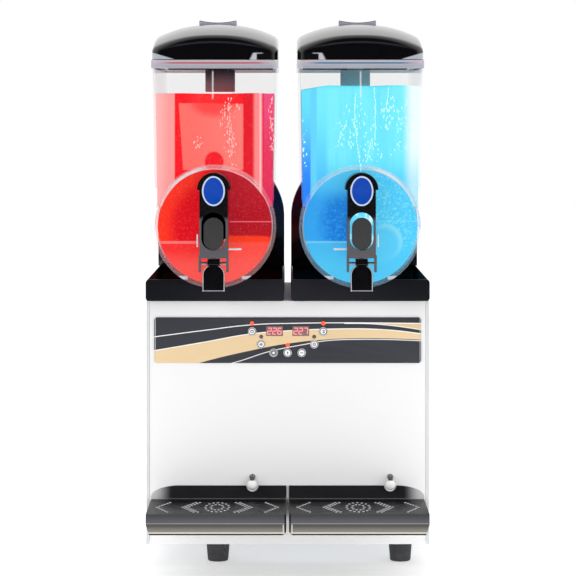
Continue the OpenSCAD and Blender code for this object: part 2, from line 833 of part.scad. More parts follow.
// One cross-section of the lid's outside (inset 0) or inside.
function lid_ring(y, inset) =
    let (
        a = lid_half(y, lid_y0 + inset, lid_y1 - inset, 12 - inset) - inset,
        side_z = lid_z + lid_side_h + crown(y) - inset,
        foot_z = lid_z - (inset > 0 ? cut : 0),
        arch = [for (i = [0:16]) let (x = cos(i * 11.25))
            [a * x, y, side_z + lid_arch_h * (1 - pow(abs(x), 2.4))]]
    )
    concat([[a, y, foot_z]], arch, [[-a, y, foot_z]]);

// Places along the depth of the lid's cross-sections, closer together near its ends.
function lid_steps(inset) =
    let (y0 = lid_y0 + inset, y1 = lid_y1 - inset)
    concat([for (d = [0, 1, 3, 6, 12]) y0 + d], [for (i = [1:9]) y0 + 12 + (y1 - y0 - 24) * i / 10],
        [for (d = [12, 6, 3, 1, 0]) y1 - d]);

module lid(side) {
    top = rim_w / 2 - 2 - tank_wall;
    in_x = top - 3;
    in_y0 = tank_front_y + front_wall + 0.6;
    in_y1 = tank_back_y - tank_wall - 0.6;
    color("#101113") at_bay(side) union() {
        difference() {
            skin([for (y = lid_steps(0)) lid_ring(y, 0)]);
            skin([for (y = lid_steps(lid_wall)) lid_ring(y, lid_wall)]);
        }
        difference() {
            union() {
                block([-lid_w / 2 + 1, lid_w / 2 - 1], [lid_y0 + 12, lid_y1 - 12], [lid_z, lid_z + 2]);
                block([-lid_w / 2 + 12, lid_w / 2 - 12], [lid_y0 + 1, lid_y1 - 1], [lid_z, lid_z + 2]);
                block([-top + 0.6, top - 0.6], [in_y0, in_y1], [lid_z - 8, lid_z + 2]);
            }
            block([-in_x, in_x], [in_y0 + 2.4, in_y1 - 2.4], [lid_z - 8 - cut, lid_z + 2 + cut]);
        }
        translate([0, lamp_y, lid_z + 2]) cylinder(r = 8, h = lid_side_h + lid_arch_h + crown(lamp_y) - 3.5);
        difference() {
            block([-handle_w / 2, handle_w / 2], [handle_y - handle_d / 2, handle_y + handle_d / 2],
                [lid_top_z - lid_wall, lid_top_z + handle_h]);
            rod_y(120, handle_y - handle_d, handle_y + handle_d, 0, lid_top_z + 120 + handle_h - 4);
        }
    }
}

// Lamp housing that hangs from the lid over the slush.
module lid_lamp(side) {
    color("#55585c") at_bay(side) union() {
        block([-lamp_w / 2, lamp_w / 2], [lamp_y - lamp_d / 2, lamp_y + lamp_d / 2],
            [lamp_z, lamp_z + lamp_h]);
        block([-13, 13], [lamp_y - 9, lamp_y + 9], [lamp_z + lamp_h, lid_z + 2]);
    }
}

// ---- Tap ----

// Cover: a narrow body under a wider round cap, open behind and below, with two ears for the pin.
module tap_cover(side) {
    w = tap_w / 2;
    t = cover_wall;
    color("#1a1b1d") at_bay(side) difference() {
        union() {
            upright(cover_front_y, cover_back_y) union() {
                translate([-w, cover_z]) square([2 * w, cap_z - cover_z]);
                intersection() {
                    translate([0, cap_z]) circle(r = cap_r);
                    translate([-cap_r, cap_z - 1]) square([2 * cap_r, cap_r + 2]);
                }
            }
            for (dir = [-1, 1]) {
                upright(cover_front_y, cover_front_y + 15) translate([dir * (ear_x + ear_t / 2), 0])
                    round_rect(-ear_t / 2, ear_t / 2, pivot_z - 13, cover_z + 5, 1.5);
            }
        }
        upright(cover_front_y + t, cover_back_y + cut) union() {
            translate([-w + t, cover_z - cut]) square([2 * (w - t), cap_z - cover_z + cut]);
            intersection() {
                translate([0, cap_z]) circle(r = cap_r - t);
                translate([-w + t, cap_z - 1]) square([2 * (w - t), cap_r]);
            }
        }
        upright(cover_front_y - cut, cover_front_y + t + cut) translate([0, (window_z0 + window_z1) / 2])
            rotate([0, 0, 90]) slot(window_z1 - window_z0, window_w);
        rod_x(pin_r + 0.02, -w - ear_t, w + ear_t, pivot_y, pivot_z);
    }
}

// Plain oval badge with a raised rim, across the cap and the body.
module tap_badge(side) {
    color("royalblue") at_bay(side) translate([0, 0, cap_z - 2.5]) difference() {
        upright(cover_front_y - 2.5, cover_front_y) oval(33.6, 43.8);
        upright(cover_front_y - 3.5, cover_front_y - 1.7) oval(29, 39);
    }
}

// Piston, joined through the slot in its barrel to the pad in the window and the bar that lifts it.
module tap_piston(side) {
    bar_y0 = pivot_y + 9;
    rib_z0 = pad_z + 12;
    color("#6d7074") at_bay(side) difference() {
        union() {
            translate([0, block_y, seat_z + 0.5]) cylinder(r = piston_r, h = piston_top_z - seat_z - 0.5);
            block([-3, 3], [cover_front_y + cover_wall, block_y], [rib_z0, rib_z0 + 20]);
            upright(cover_front_y + pad_recess, cover_front_y + cover_wall + pad_recess)
                translate([0, pad_z + pad_h / 2]) rotate([0, 0, 90]) slot(pad_h, pad_w);
            block([-3, 3], [bar_y0, bar_y0 + 6], [lift_bar_z, rib_z0 + 1]);
            block([-9, 9], [bar_y0, bar_y0 + 8], [lift_bar_z, lift_bar_z + 3]);
        }
        translate([0, block_y, seat_z + 10]) difference() {
            cylinder(r = piston_r + 1, h = 2, center = true);
            cylinder(r = piston_r - 1.5, h = 3, center = true);
        }
    }
}

// One six-sided section of the spring's wire, t turns along it.
function coil_ring(t, z0, len) = let (a = 360 * t, z = z0 + len * t / spring_turns)
    [for (j = [0:5]) let (r = spring_r + spring_wire / 2 * cos(j * 60))
        [r * cos(a), block_y + r * sin(a), z + spring_wire / 2 * sin(j * 60)]];

module tap_spring(side) {
    z0 = piston_top_z + spring_wire / 2 + 0.1;
    len = cap_z + cap_r - cover_wall - 3 - z0;
    steps = spring_turns * 16;
    color("silver") at_bay(side) skin([for (i = [0:steps]) coil_ring(i / 16, z0, len)]);
}

// Lever: a paddle in front of the outlet, a hub on the pin, and two arms that lift the piston's bar.
module tap_lever(side) {
    w = paddle_w / 2;
    hub = 9;
    color("#1a1b1d") at_bay(side) difference() {
        union() {
            upright(pivot_y - 4, pivot_y - 4 + paddle_t) union() {
                translate([0, paddle_top_z - w]) circle(r = w);
                translate([-w, paddle_top_z - paddle_h]) square([2 * w, paddle_h - w]);
            }
            rod_x(lever_r, -hub, hub, pivot_y, pivot_z);
            block([-hub, hub], [pivot_y - 4, pivot_y], [paddle_top_z - 4, pivot_z]);
            for (dir = [-1, 1]) {
                block([dir * arm_x - 2, dir * arm_x + 2], [pivot_y, pivot_y + lever_arm + 1],
                    [pivot_z - 2.5, pivot_z + 2.5]);
            }
        }
        rod_x(pin_r + shaft_fit, -hub - cut, hub + cut, pivot_y, pivot_z);
    }
}

module tap_pin(side) {
    end = ear_x + ear_t;
    color("silver") at_bay(side) rod_x(pin_r, -end, end, pivot_y, pivot_z);
}

// ---- Drip trays ----

// Puts a drip tray's part under its bowl. Both trays have their spout on the right.
module at_tray(side) {
    translate([side == "left" ? -tray_x : tray_x, 0, 0]) children();
}

// Outline of a tray's upstand: square at the middle of the machine, swept down at the outer end.
module upstand(w) {
    top_z = tray_top_z + upstand_h;
    sweep = [for (a = [180:-7.5:90])
        [-w + upstand_sweep * (1 + cos(a)), top_z - upstand_rise * (1 - sin(a))]];
    polygon(concat([[-w, tray_rim_z - 3]], sweep, [[w, top_z], [w, tray_rim_z - 3]]));
}

// Drip tray. Its outer end slopes in towards the bottom.
module drip_tray(side) {
    w = tray_w / 2;
    t = tray_wall;
    out = side == "left" ? -1 : 1;
    inner = out * (t - w);
    outer = out * (w - t - tray_draft);
    color("#1a1b1d") at_tray(side) difference() {
        union() {
            upright(tray_y0, tray_y1) difference() {
                union() {
                    round_rect(-w, w, tray_z0, tray_rim_z, tray_corner);
                    translate([-w, tray_z0 + tray_corner]) square([2 * w, tray_h - tray_corner]);
                }
                polygon([[out * w, tray_rim_z - 2], [out * (w + cut), tray_rim_z - 2],
                    [out * (w + cut), tray_z0 - cut], [out * (w - tray_draft), tray_z0 - cut]]);
            }
            upright(tray_y1 - upstand_t, tray_y1) scale([-out, 1]) upstand(w);
            for (x = [-tongue_x, tongue_x]) {
                block([x - tongue_w / 2, x + tongue_w / 2], [tray_y1 - cut, front_y + tongue_l],
                    [tongue_z, tongue_z + tongue_t]);
            }
        }
        block([min(inner, outer), max(inner, outer)], [tray_y0 + t, tray_y1 - upstand_t],
            [tray_z0 + t, tray_rim_z + cut]);
        upright(tray_y1 - upstand_t - cut, tray_y1 + cut) translate([spout_out_x, 0]) union() {
            translate([0, spout_z - 2]) circle(r = spout_notch);
            translate([-spout_notch, spout_z - 2]) square([2 * spout_notch, 30]);
        }
    }
}

// Places of the grid's holes: two pairs of chevrons with a double ring between them.
function grid_holes() = concat(
    [for (c = [[-88, 1, 0], [-50, 1, 1], [50, -1, 1], [88, -1, 0]], row = [0:c[2]], i = [-5:5])
        [c[0] + c[1] * (abs(i) * 3.5 + row * 6), i * 9]],
    [for (i = [0:15]) [17 * cos(i * 22.5), 44 * sin(i * 22.5)]],
    [for (i = [0:9]) [9 * cos(i * 36), 26 * sin(i * 36)]]
);

// Grid: a plate with skirts that stand on the tray's rim.
module drip_grid(side) {
    w = tray_w / 2;
    y1 = tray_y1 - upstand_t - slide_gap;
    mid_y = tray_y0 + 62;
    color("#2c2d30") at_tray(side) difference() {
        block([-w, w], [tray_y0, y1], [tray_rim_z, tray_top_z]);
        block([-w + 2.5, w - 2.5], [tray_y0 + 2.5, y1 - 2.5], [tray_rim_z - cut, tray_top_z - 2.5]);
        for (p = grid_holes()) {
            translate([p[0], mid_y + p[1], tray_top_z - 5]) cylinder(r = grid_hole_r, h = 10);
        }
        translate([spout_out_x, spout_y, tray_rim_z - cut]) cylinder(r = spout_notch, h = grid_h + 2 * cut);
        block([spout_out_x - spout_notch, spout_out_x + spout_notch], [spout_y, y1 + cut],
            [tray_rim_z - cut, tray_top_z + cut]);
    }
}

// ---- The machine ----

chassis();
feet();
front_panel();
side_panel(-1);  // left_side_panel
side_panel(1);  // right_side_panel
rear_panel();
top_deck();
control_panel();
displays();
indicator_leds();
control_board();
drain_spouts();
compressor();
condenser();
fan();
fan_motor();
power_switch();
cable_gland();
panel_screws();
gear_motors();
bowl_seals();
button(1);  // button_1
button(2);  // button_2
button(3);  // button_3
button(4);  // button_4
button(5);  // button_5
button(6);  // button_6
button(7);  // button_7
bowl_base("left");  // bowl_base_left
bowl_base("right");  // bowl_base_right
rear_housing("left");  // rear_housing_left
rear_housing("right");  // rear_housing_right
evaporator("left");  // evaporator_left
evaporator("right");  // evaporator_right
auger("left");  // auger_left
auger("right");  // auger_right
drive_shaft("left");  // drive_shaft_left
drive_shaft("right");  // drive_shaft_right
tank("left");  // tank_left
tank("right");  // tank_right
lid("left");  // lid_left
lid("right");  // lid_right
lid_lamp("left");  // lid_lamp_left
lid_lamp("right");  // lid_lamp_right
tap_cover("left");  // tap_cover_left
tap_cover("right");  // tap_cover_right
tap_badge("left");  // tap_badge_left
tap_badge("right");  // tap_badge_right
tap_piston("left");  // tap_piston_left
tap_piston("right");  // tap_piston_right
tap_spring("left");  // tap_spring_left
tap_spring("right");  // tap_spring_right
tap_lever("left");  // tap_lever_left
tap_lever("right");  // tap_lever_right
tap_pin("left");  // tap_pin_left
tap_pin("right");  // tap_pin_right
drip_tray("left");  // drip_tray_left
drip_tray("right");  // drip_tray_right
drip_grid("left");  // drip_grid_left
drip_grid("right");  // drip_grid_right
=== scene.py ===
"""Twin-bowl slush machine: the looks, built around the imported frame. All lengths are in metres."""
import json
import math
import random

import bpy
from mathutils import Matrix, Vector


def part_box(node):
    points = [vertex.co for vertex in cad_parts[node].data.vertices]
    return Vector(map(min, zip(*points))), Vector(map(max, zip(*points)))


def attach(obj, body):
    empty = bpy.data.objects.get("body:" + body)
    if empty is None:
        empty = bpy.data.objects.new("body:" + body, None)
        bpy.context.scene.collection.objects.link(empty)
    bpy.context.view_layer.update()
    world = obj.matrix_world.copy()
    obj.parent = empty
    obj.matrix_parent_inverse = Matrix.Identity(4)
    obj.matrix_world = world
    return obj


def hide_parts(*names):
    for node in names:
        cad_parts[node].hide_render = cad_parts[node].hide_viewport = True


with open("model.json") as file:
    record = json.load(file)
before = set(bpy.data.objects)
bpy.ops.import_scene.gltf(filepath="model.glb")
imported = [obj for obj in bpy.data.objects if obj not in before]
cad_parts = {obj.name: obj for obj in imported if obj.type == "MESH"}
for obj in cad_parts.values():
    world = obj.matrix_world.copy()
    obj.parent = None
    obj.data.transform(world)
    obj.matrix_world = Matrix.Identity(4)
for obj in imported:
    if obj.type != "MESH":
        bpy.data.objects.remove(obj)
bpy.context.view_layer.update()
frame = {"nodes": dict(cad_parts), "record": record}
SIDES = {"left": -1, "right": 1}
MM = 0.001


# ---- Places, worked out from the frame ----

def middle(name):
    low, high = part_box(name)
    return (low + high) / 2


CABINET_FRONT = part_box("front_panel")[0].y
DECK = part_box("top_deck")[1].z
PANEL_LOW, PANEL_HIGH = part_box("control_panel")
PANEL_MID = (PANEL_LOW + PANEL_HIGH) / 2
TANK_FACE = CABINET_FRONT - 0.018
BAY = abs(middle("evaporator_left").x)
AXIS_Z = middle("evaporator_left").z


# ---- Camera ----

CAMERA_DISTANCE = 3.8
CAMERA_HEIGHT = 0.661
CAMERA_ASIDE = 0.0005
FRAME_WIDTH_AT_FRONT = 0.857
VIEW_SHIFT = -0.2917
SENSOR_WIDTH = 36


def add_camera():
    """A level camera far in front, with the view shifted down so that upright lines stay parallel."""
    data = bpy.data.cameras.new("camera")
    camera = bpy.data.objects.new("camera", data)
    bpy.context.scene.collection.objects.link(camera)
    camera.location = (CAMERA_ASIDE, CABINET_FRONT - CAMERA_DISTANCE, CAMERA_HEIGHT)
    camera.rotation_euler = (math.pi / 2, 0, 0)
    data.sensor_width = SENSOR_WIDTH
    data.lens = SENSOR_WIDTH * CAMERA_DISTANCE / FRAME_WIDTH_AT_FRONT
    data.shift_y = VIEW_SHIFT
    data.clip_end = 60
    bpy.context.scene.camera = camera


add_camera()


# ---- Finishes ----

class Wire:
    """An output of a finish's nodes that can be used in sums."""

    def __init__(self, finish, socket):
        self.finish = finish
        self.socket = socket

    def math(self, operation, left, right=0.0):
        return self.finish.node("ShaderNodeMath", {"operation": operation}, {0: left, 1: right})

    def __add__(self, other):
        return self.math("ADD", self, other)

    def __radd__(self, other):
        return self.math("ADD", other, self)

    def __sub__(self, other):
        return self.math("SUBTRACT", self, other)

    def __rsub__(self, other):
        return self.math("SUBTRACT", other, self)

    def __mul__(self, other):
        return self.math("MULTIPLY", self, other)

    def __rmul__(self, other):
        return self.math("MULTIPLY", other, self)

    def __truediv__(self, other):
        return self.math("DIVIDE", self, other)

    def size(self):
        return self.math("ABSOLUTE", self)

    def root(self):
        return self.math("SQRT", self)

    def over(self, other):
        """The greater of the two."""
        return self.math("MAXIMUM", self, other)

    def above(self, level, soft=0.0001):
        """1 where this is over the level, 0 where it is under it, with an edge of the given softness."""
        return self.finish.ramp(self, level - soft, level + soft, 0.0, 1.0)

    def under(self, level, soft=0.0001):
        return self.finish.ramp(self, level - soft, level + soft, 1.0, 0.0)


class Finish:
    """A material whose nodes are added by one method."""

    def __init__(self, name):
        self.material = bpy.data.materials.new(name)
        self.material.use_nodes = True
        self.tree = self.material.node_tree
        self.tree.nodes.clear()
        self.place = self.node("ShaderNodeTexCoord", {}, {}, "Object")

    def node(self, kind, settings, values, output=0):
        made = self.tree.nodes.new(kind)
        for key, value in settings.items():
            if key == "stops":
                self.set_stops(made.color_ramp, value)
            elif key == "points":
                self.set_points(made.mapping, value)
            else:
                setattr(made, key, value)
        for key, value in values.items():
            if isinstance(value, Wire):
                self.tree.links.new(value.socket, made.inputs[key])
            else:
                made.inputs[key].default_value = value
        return Wire(self, made.outputs[output])

    def set_stops(self, ramp, stops):
        while len(ramp.elements) < len(stops):
            ramp.elements.new(0.5)
        for element, (place, colour) in zip(ramp.elements, stops):
            element.position = place
            element.color = (*colour, 1)

    def set_points(self, mapping, points):
        curve = mapping.curves[0]
        while len(curve.points) < len(points):
            curve.points.new(0.5, 0.5)
        for point, place in zip(curve.points, points):
            point.location = place
        mapping.update()

    def ramp(self, value, low, high, to_low=0.0, to_high=1.0):
        """A smooth step: to_low up to the low value, to_high from the high value on."""
        return self.node(
            "ShaderNodeMapRange", {"interpolation_type": "SMOOTHSTEP"},
            {"Value": value, "From Min": low, "From Max": high, "To Min": to_low, "To Max": to_high})

    def axes(self):
        """The X, Y and Z of the place on the object, as three wires."""
        split = self.tree.nodes.new("ShaderNodeSeparateXYZ")
        self.tree.links.new(self.place.socket, split.inputs[0])
        return [Wire(self, split.outputs[i]) for i in range(3)]

    def stretched(self, scale):
        """The place on the object, stretched along each axis."""
        return self.node("ShaderNodeMapping", {}, {"Vector": self.place, "Scale": scale})

    def noise(self, scale, detail=3.0, roughness=0.5, stretch=(1, 1, 1)):
        return self.node("ShaderNodeTexNoise", {}, {"Vector": self.stretched(stretch), "Scale": scale,
                                                    "Detail": detail, "Roughness": roughness})

    def cells(self, scale, stretch=(1, 1, 1), feature="F1"):
        return self.node("ShaderNodeTexVoronoi", {"feature": feature},
                         {"Vector": self.stretched(stretch), "Scale": scale}, "Distance")

    def blend(self, factor, first, second):
        """The first colour where the factor is 0 and the second where it is 1."""
        def rgba(colour):
            return colour if isinstance(colour, Wire) else (*colour, 1)
        return self.node("ShaderNodeMix", {"data_type": "RGBA"},
                         {0: factor, 6: rgba(first), 7: rgba(second)}, 2)

    def bump(self, height, strength, distance=0.0005):
        return self.node("ShaderNodeBump", {}, {"Height": height, "Strength": strength, "Distance": distance})

    def surface(self, **values):
        """The last two nodes. Names are the sockets' own, with _ for a space."""
        sockets = {}
        for key, value in values.items():
            plain = isinstance(value, tuple) and len(value) == 3
            sockets[key.replace("_", " ")] = (*value, 1) if plain else value
        shader = self.node("ShaderNodeBsdfPrincipled", {}, sockets, "BSDF")
        output = self.tree.nodes.new("ShaderNodeOutputMaterial")
        self.tree.links.new(shader.socket, output.inputs["Surface"])
        return self.material

    def paint(self, ground, *layers):
        """The ground colour with layers of (mask, colour) over it, in their order."""
        for mask, colour in layers:
            ground = self.blend(mask, ground, colour)
        return ground


def shade(red, green, blue):
    """A colour as a screen shows it, 0 to 255, as the linear values that a shader takes."""
    levels = (red / 255, green / 255, blue / 255)
    return tuple(c / 12.92 if c <= 10 / 255 else ((c + 0.055) / 1.055) ** 2.4 for c in levels)


def moulded(name, colour, gloss=0.35, grain=2600, depth=0.12, coat=0.0, specular=0.5):
    """Moulded plastic: a fine grain, slight tone changes and a few rubbed places."""
    f = Finish(name)
    tone = f.noise(9, 3)
    rubbed = f.noise(60, 4, 0.6)
    paler = tuple(min(1.0, c * 1.25 + 0.006) for c in colour)
    return f.surface(
        Base_Color=f.blend(tone, colour, paler),
        Roughness=gloss + rubbed * 0.12 - 0.06,
        Coat_Weight=coat, Coat_Roughness=0.06, Specular_IOR_Level=specular,
        Normal=f.bump(f.noise(grain, 2), depth, 0.0002))


def brushed(name, colour, roughness=0.3, grain=(1.5, 60, 60), metal=1.0):
    """Brushed sheet steel: long fine scratches along the sheet, with faint clouds of tone."""
    f = Finish(name)
    scratches = f.noise(40, 5, 0.65, grain)
    clouds = f.noise(3, 2)
    paler = tuple(min(1.0, c * 1.05) for c in colour)
    darker = tuple(c * 0.93 for c in colour)
    return f.surface(
        Base_Color=f.blend(scratches * 0.7 + clouds * 0.3, darker, paler),
        Metallic=metal,
        Roughness=roughness + scratches * 0.12,
        Normal=f.bump(scratches, 0.06, 0.0002))


def rubber(name, colour):
    f = Finish(name)
    dust = f.noise(140, 4, 0.7)
    return f.surface(
        Base_Color=f.blend(f.ramp(dust, 0.45, 0.75), colour, tuple(c + 0.03 for c in colour)),
        Roughness=0.62 + dust * 0.2,
        Normal=f.bump(f.noise(900, 2), 0.2, 0.0003))


# ---- Finishes of the drink, the control panel and the badges ----

class BowlFinish(Finish):
    """A finish with places in millimetres: across and up from the middle of a bowl's drum."""

    def __init__(self, name, side):
        super().__init__(name)
        x, self.depth, z = self.axes()
        self.across = (x - SIDES[side] * BAY) / MM
        self.up = (z - AXIS_Z) / MM

    def between(self, wire, low, high, soft=1.0):
        return wire.above(low, soft) * wire.under(high, soft)

    def radius(self):
        """Distance from the drum's middle, in the same millimetres."""
        return (self.across * self.across + self.up * self.up).root()

    def blob(self, x, z, wide, high, soft=0.35):
        """1 inside an oval, fading to 0 outside it."""
        dx = (self.across - x) / wide
        dz = (self.up - z) / high
        return (dx * dx + dz * dz).under(1.0, soft)

    def drink(self, colour):
        grains = self.noise(420, 3, 0.7)
        frosted = self.blend(grains.above(0.62, 0.08) * 0.05, colour, shade(255, 255, 255))
        # Painted light: the drink glows through its emission, standing in for light shining through it.
        return self.surface(
            Base_Color=self.blend(0.42, frosted, (0, 0, 0)), Emission_Color=frosted, Emission_Strength=0.45,
            Roughness=0.34 + grains * 0.2, Specular_IOR_Level=0.04,
            Normal=self.bump(grains, 0.03, 0.0003))


def red_drink():
    """Strawberry drink in the box of the left tank, all in painted light and shade: light from behind makes
    its left side pink and its middle coral, it stays deep red where less light comes through, and a thin pale
    line near its right edge is a painted highlight.
    """
    f = BowlFinish("red_drink", "left")
    wobble = f.noise(14, 2) * 5
    x = f.across
    z = f.up
    left_edge = x + z * 0.065
    right_edge = x - z * 0.05
    panel = left_edge.above(-41.5, 0.8) * right_edge.under(41.5, 0.8)
    panel = panel * z.under(180 + wobble, 1.0) * z.above(84, 1.0)
    # A darker patch near the top: painted shade.
    darker_top = f.blob(-2, 190, 34, 26, 0.6)
    pink_left = f.blend(f.ramp(x, -86, -66), shade(255, 182, 180), shade(254, 158, 156))
    return f.drink(f.paint(
        shade(255, 20, 34),
        (panel, f.blend(f.ramp(x, -46, 40), shade(255, 112, 104), shade(252, 128, 120))),
        (darker_top * 0.75, shade(255, 46, 50)),
        (x.under(-59.5, 1.0), pink_left),
        (x.above(42, 1.5), shade(232, 20, 40)),
        (x.above(58, 3), shade(255, 140, 142)),
        # A thin painted highlight line.
        (f.between(x, 66.4, 68.4, 0.6), shade(255, 205, 205)),
        (x.above(70.5, 0.5), shade(228, 40, 70)),
        (x.above(72.5, 1.0), f.blend(f.ramp(z, 90, 190), shade(232, 50, 92), shade(240, 78, 130))),
        (f.blob(-1, 96, 14, 15, 0.2), shade(250, 24, 40))))


def blue_drink():
    """Blue raspberry drink in the box of the right tank, all in painted light: its blues are paler where more
    light comes through, and its right side fades to white.
    """
    f = BowlFinish("blue_drink", "right")
    x = f.across
    z = f.up
    streaks = f.noise(5, 3, 0.6, (9, 1, 0.7))
    low_left = f.ramp(z, 60, 190)
    return f.drink(f.paint(
        shade(126, 240, 255),
        (streaks.above(0.5, 0.12) * 0.5, shade(98, 224, 252)),
        (f.ramp(z, 110, 60), shade(88, 214, 252)),
        (x.under(-49, 5) * 0.8, f.blend(low_left, shade(78, 196, 255), shade(118, 236, 255))),
        (x.under(-65, 1.5), shade(104, 214, 252)),
        (x.under(-74, 1.0), f.blend(low_left, shade(44, 138, 255), shade(104, 226, 250))),
        (f.ramp(x, 60, 78) * f.ramp(z, 60, 130, 0.55, 1.0), shade(238, 253, 255)),
        (f.ramp(z, 203, 209) * x.under(50, 20) * 0.5, shade(70, 214, 232))))


def red_drum():
    # Painted light and shade seen through the drink: darker shapes are painted shade of the auger and
    # evaporator inside, light coming through the drum's edge and lower part paints it orange and pink, and
    # the thin pale lines are painted highlights.
    f = BowlFinish("red_drum", "left")
    x = f.across
    z = f.up
    wedge_top = z + x * 0.33
    return f.drink(f.paint(
        shade(238, 22, 32),
        (f.blob(-30, 0, 34, 60, 0.8) * 0.7, shade(228, 10, 30)),
        (f.radius().above(66, 14) * x.under(-20, 20), shade(255, 54, 34)),
        (x.above(4, 10) * z.above(-14, 2), shade(186, 20, 36)),
        (x.above(16, 12) * z.above(30, 12) * 0.5, shade(196, 30, 46)),
        (x.above(10, 1) * z.under(-14, 3) * wedge_top.under(10, 3), shade(255, 62, 30)),
        (z.under(-25, 2) * x.under(0, 2), shade(250, 50, 48)),
        (z.under(-23, 2) * x.above(0, 2), shade(255, 80, 70)),
        (z.under(-46, 16) * 0.7, shade(255, 96, 90)),
        (f.between(z, 6.4, 8.0, 0.5) * x.above(22, 1), shade(240, 104, 120)),
        (f.between(z, -25.5, -21.5, 0.7) * x.under(-24, 1), shade(255, 118, 116))))


def blue_drum():
    # Painted light and shade seen through the drink: darker shapes are painted shade of the auger and
    # evaporator inside, the paler top, right side and lower part are painted light, the thin pale lines are
    # painted highlights, and the pale blob low on the right is a painted reflection.
    f = BowlFinish("blue_drum", "right")
    x = f.across
    z = f.up
    frost = f.noise(260, 3, 0.7)
    return f.drink(f.paint(
        shade(54, 168, 244),
        (f.blob(-26, 4, 32, 44, 0.9) * frost.above(0.42, 0.14), shade(26, 128, 228)),
        (z.above(52, 18), shade(84, 204, 252)),
        (x.above(6, 18), shade(80, 206, 254)),
        (x.above(6, 10) * frost.above(0.56, 0.1) * z.above(-30, 10) * 0.6, shade(140, 240, 255)),
        (z.under(-24, 1.5) * x.under(0, 2), shade(74, 190, 244)),
        (z.under(-46, 14) * 0.7, shade(84, 202, 246)),
        (f.between(z, -24.5, -21.5, 0.7) * x.under(-14, 1), shade(112, 206, 250)),
        (f.between(z, 7.4, 8.6, 0.5) * x.above(22, 1) * 0.6, shade(140, 230, 250)),
        (f.blob(38, -22, 24, 26, 0.25), shade(132, 224, 248)),
        (f.blob(33, -27, 24, 26, 0.4), shade(92, 208, 250))))


def tank_plastic(side):
    """Clear plastic of one tank: it shows at its edges, in the drum's ring and in the rim. The ring's lower
    part takes the drink's colour seen through it, its upper outer side has a painted highlight band and its
    inner edge a thin painted highlight line, and the back wall is tinted grey as painted shade.
    """
    f = BowlFinish("tank_" + side, side)
    tint = shade(250, 150, 156) if side == "left" else shade(90, 190, 235)
    line = shade(226, 96, 116) if side == "left" else shade(24, 150, 192)
    edge = f.node("ShaderNodeLayerWeight", {}, {"Blend": 0.35}, "Facing")
    haze = f.noise(30, 4, 0.6, (1, 1, 3))
    radius = f.radius()
    fore = (f.depth / MM).under(-155, 1)
    ring = f.between(radius, 84.5, 92, 0.8) * fore
    lower = f.up.under(50, 30)
    outer = f.across if side == "right" else 0 - f.across
    # Painted highlight band on the ring's upper outer side.
    gleam = f.between(radius, 85.6, 89.4, 0.8) * fore * f.between(outer + f.up * 0.5, 62, 96, 12)
    gleam = gleam * f.up.above(0, 10)
    # A thin painted highlight along the ring's inner edge.
    inner_highlight_line = f.between(radius, 85.0, 86.2, 0.3) * fore * f.up.above(-40, 20)
    rim = f.up.above(234.5, 0.5)
    rim_line = f.between(f.up, 241.5, 243.5, 0.5) * f.across.size().under(72, 14)
    tab = f.between(f.up, -78, -73, 0.8) * f.between(f.across.size(), 40, 70, 1) * fore
    front = (f.depth / MM).under(-161, 1)
    # Painted shade: the back wall is tinted grey.
    back = (f.depth / MM).above(190, 2)
    streak_at = -3 if side == "left" else 0
    streak = f.between(f.across - streak_at, -1.2, 1.2, 0.5) * f.between(f.up, 190, 230, 3) * front
    colour = f.paint(
        shade(240, 244, 249),
        (back, shade(150, 152, 158)),
        (ring * lower * 0.55, tint),
        (inner_highlight_line, shade(250, 236, 240)),
        (rim, f.blend(f.ramp(f.up, 236, 247), shade(198, 203, 214), shade(236, 222, 232))),
        (tab, shade(226, 232, 240)),
        (streak, shade(250, 252, 255)),
        (rim_line, line))
    return f.surface(
        Base_Color=colour, Roughness=0.04 + haze * 0.06, IOR=1.5, Specular_IOR_Level=0.2,
        Alpha=f.ramp(edge, 0.3, 0.97, 0.004, 0.55) + ring * 0.14 + inner_highlight_line * 0.3 + gleam * 0.6
        + rim * 0.5 + tab * 0.5 + streak * 0.5 + back * 0.08,
        Normal=f.bump(f.noise(12, 2), 0.01, 0.0004))


class PanelFinish(Finish):
    """The control panel's finish, with places in millimetres from its middle."""

    def __init__(self, name):
        super().__init__(name)
        x, depth, z = self.axes()
        self.across = (x - PANEL_MID.x) / MM
        self.up = (z - PANEL_MID.z) / MM
        self.half_width = (PANEL_HIGH.x - PANEL_LOW.x) / 2 / MM
        self.half_height = (PANEL_HIGH.z - PANEL_LOW.z) / 2 / MM

    def sweep(self, places):
        """Height of a smooth line across the panel, through the given places."""
        width, reach = 2 * self.half_width, 60
        along = (self.across + self.half_width) / width
        points = [((x + self.half_width) / width, (z + reach) / (2 * reach)) for x, z in places]
        return self.node("ShaderNodeFloatCurve", {"points": points}, {"Value": along}) * (2 * reach) - reach

    def line(self, height, width):
        return (self.up - height).size().under(width / 2, 0.25)


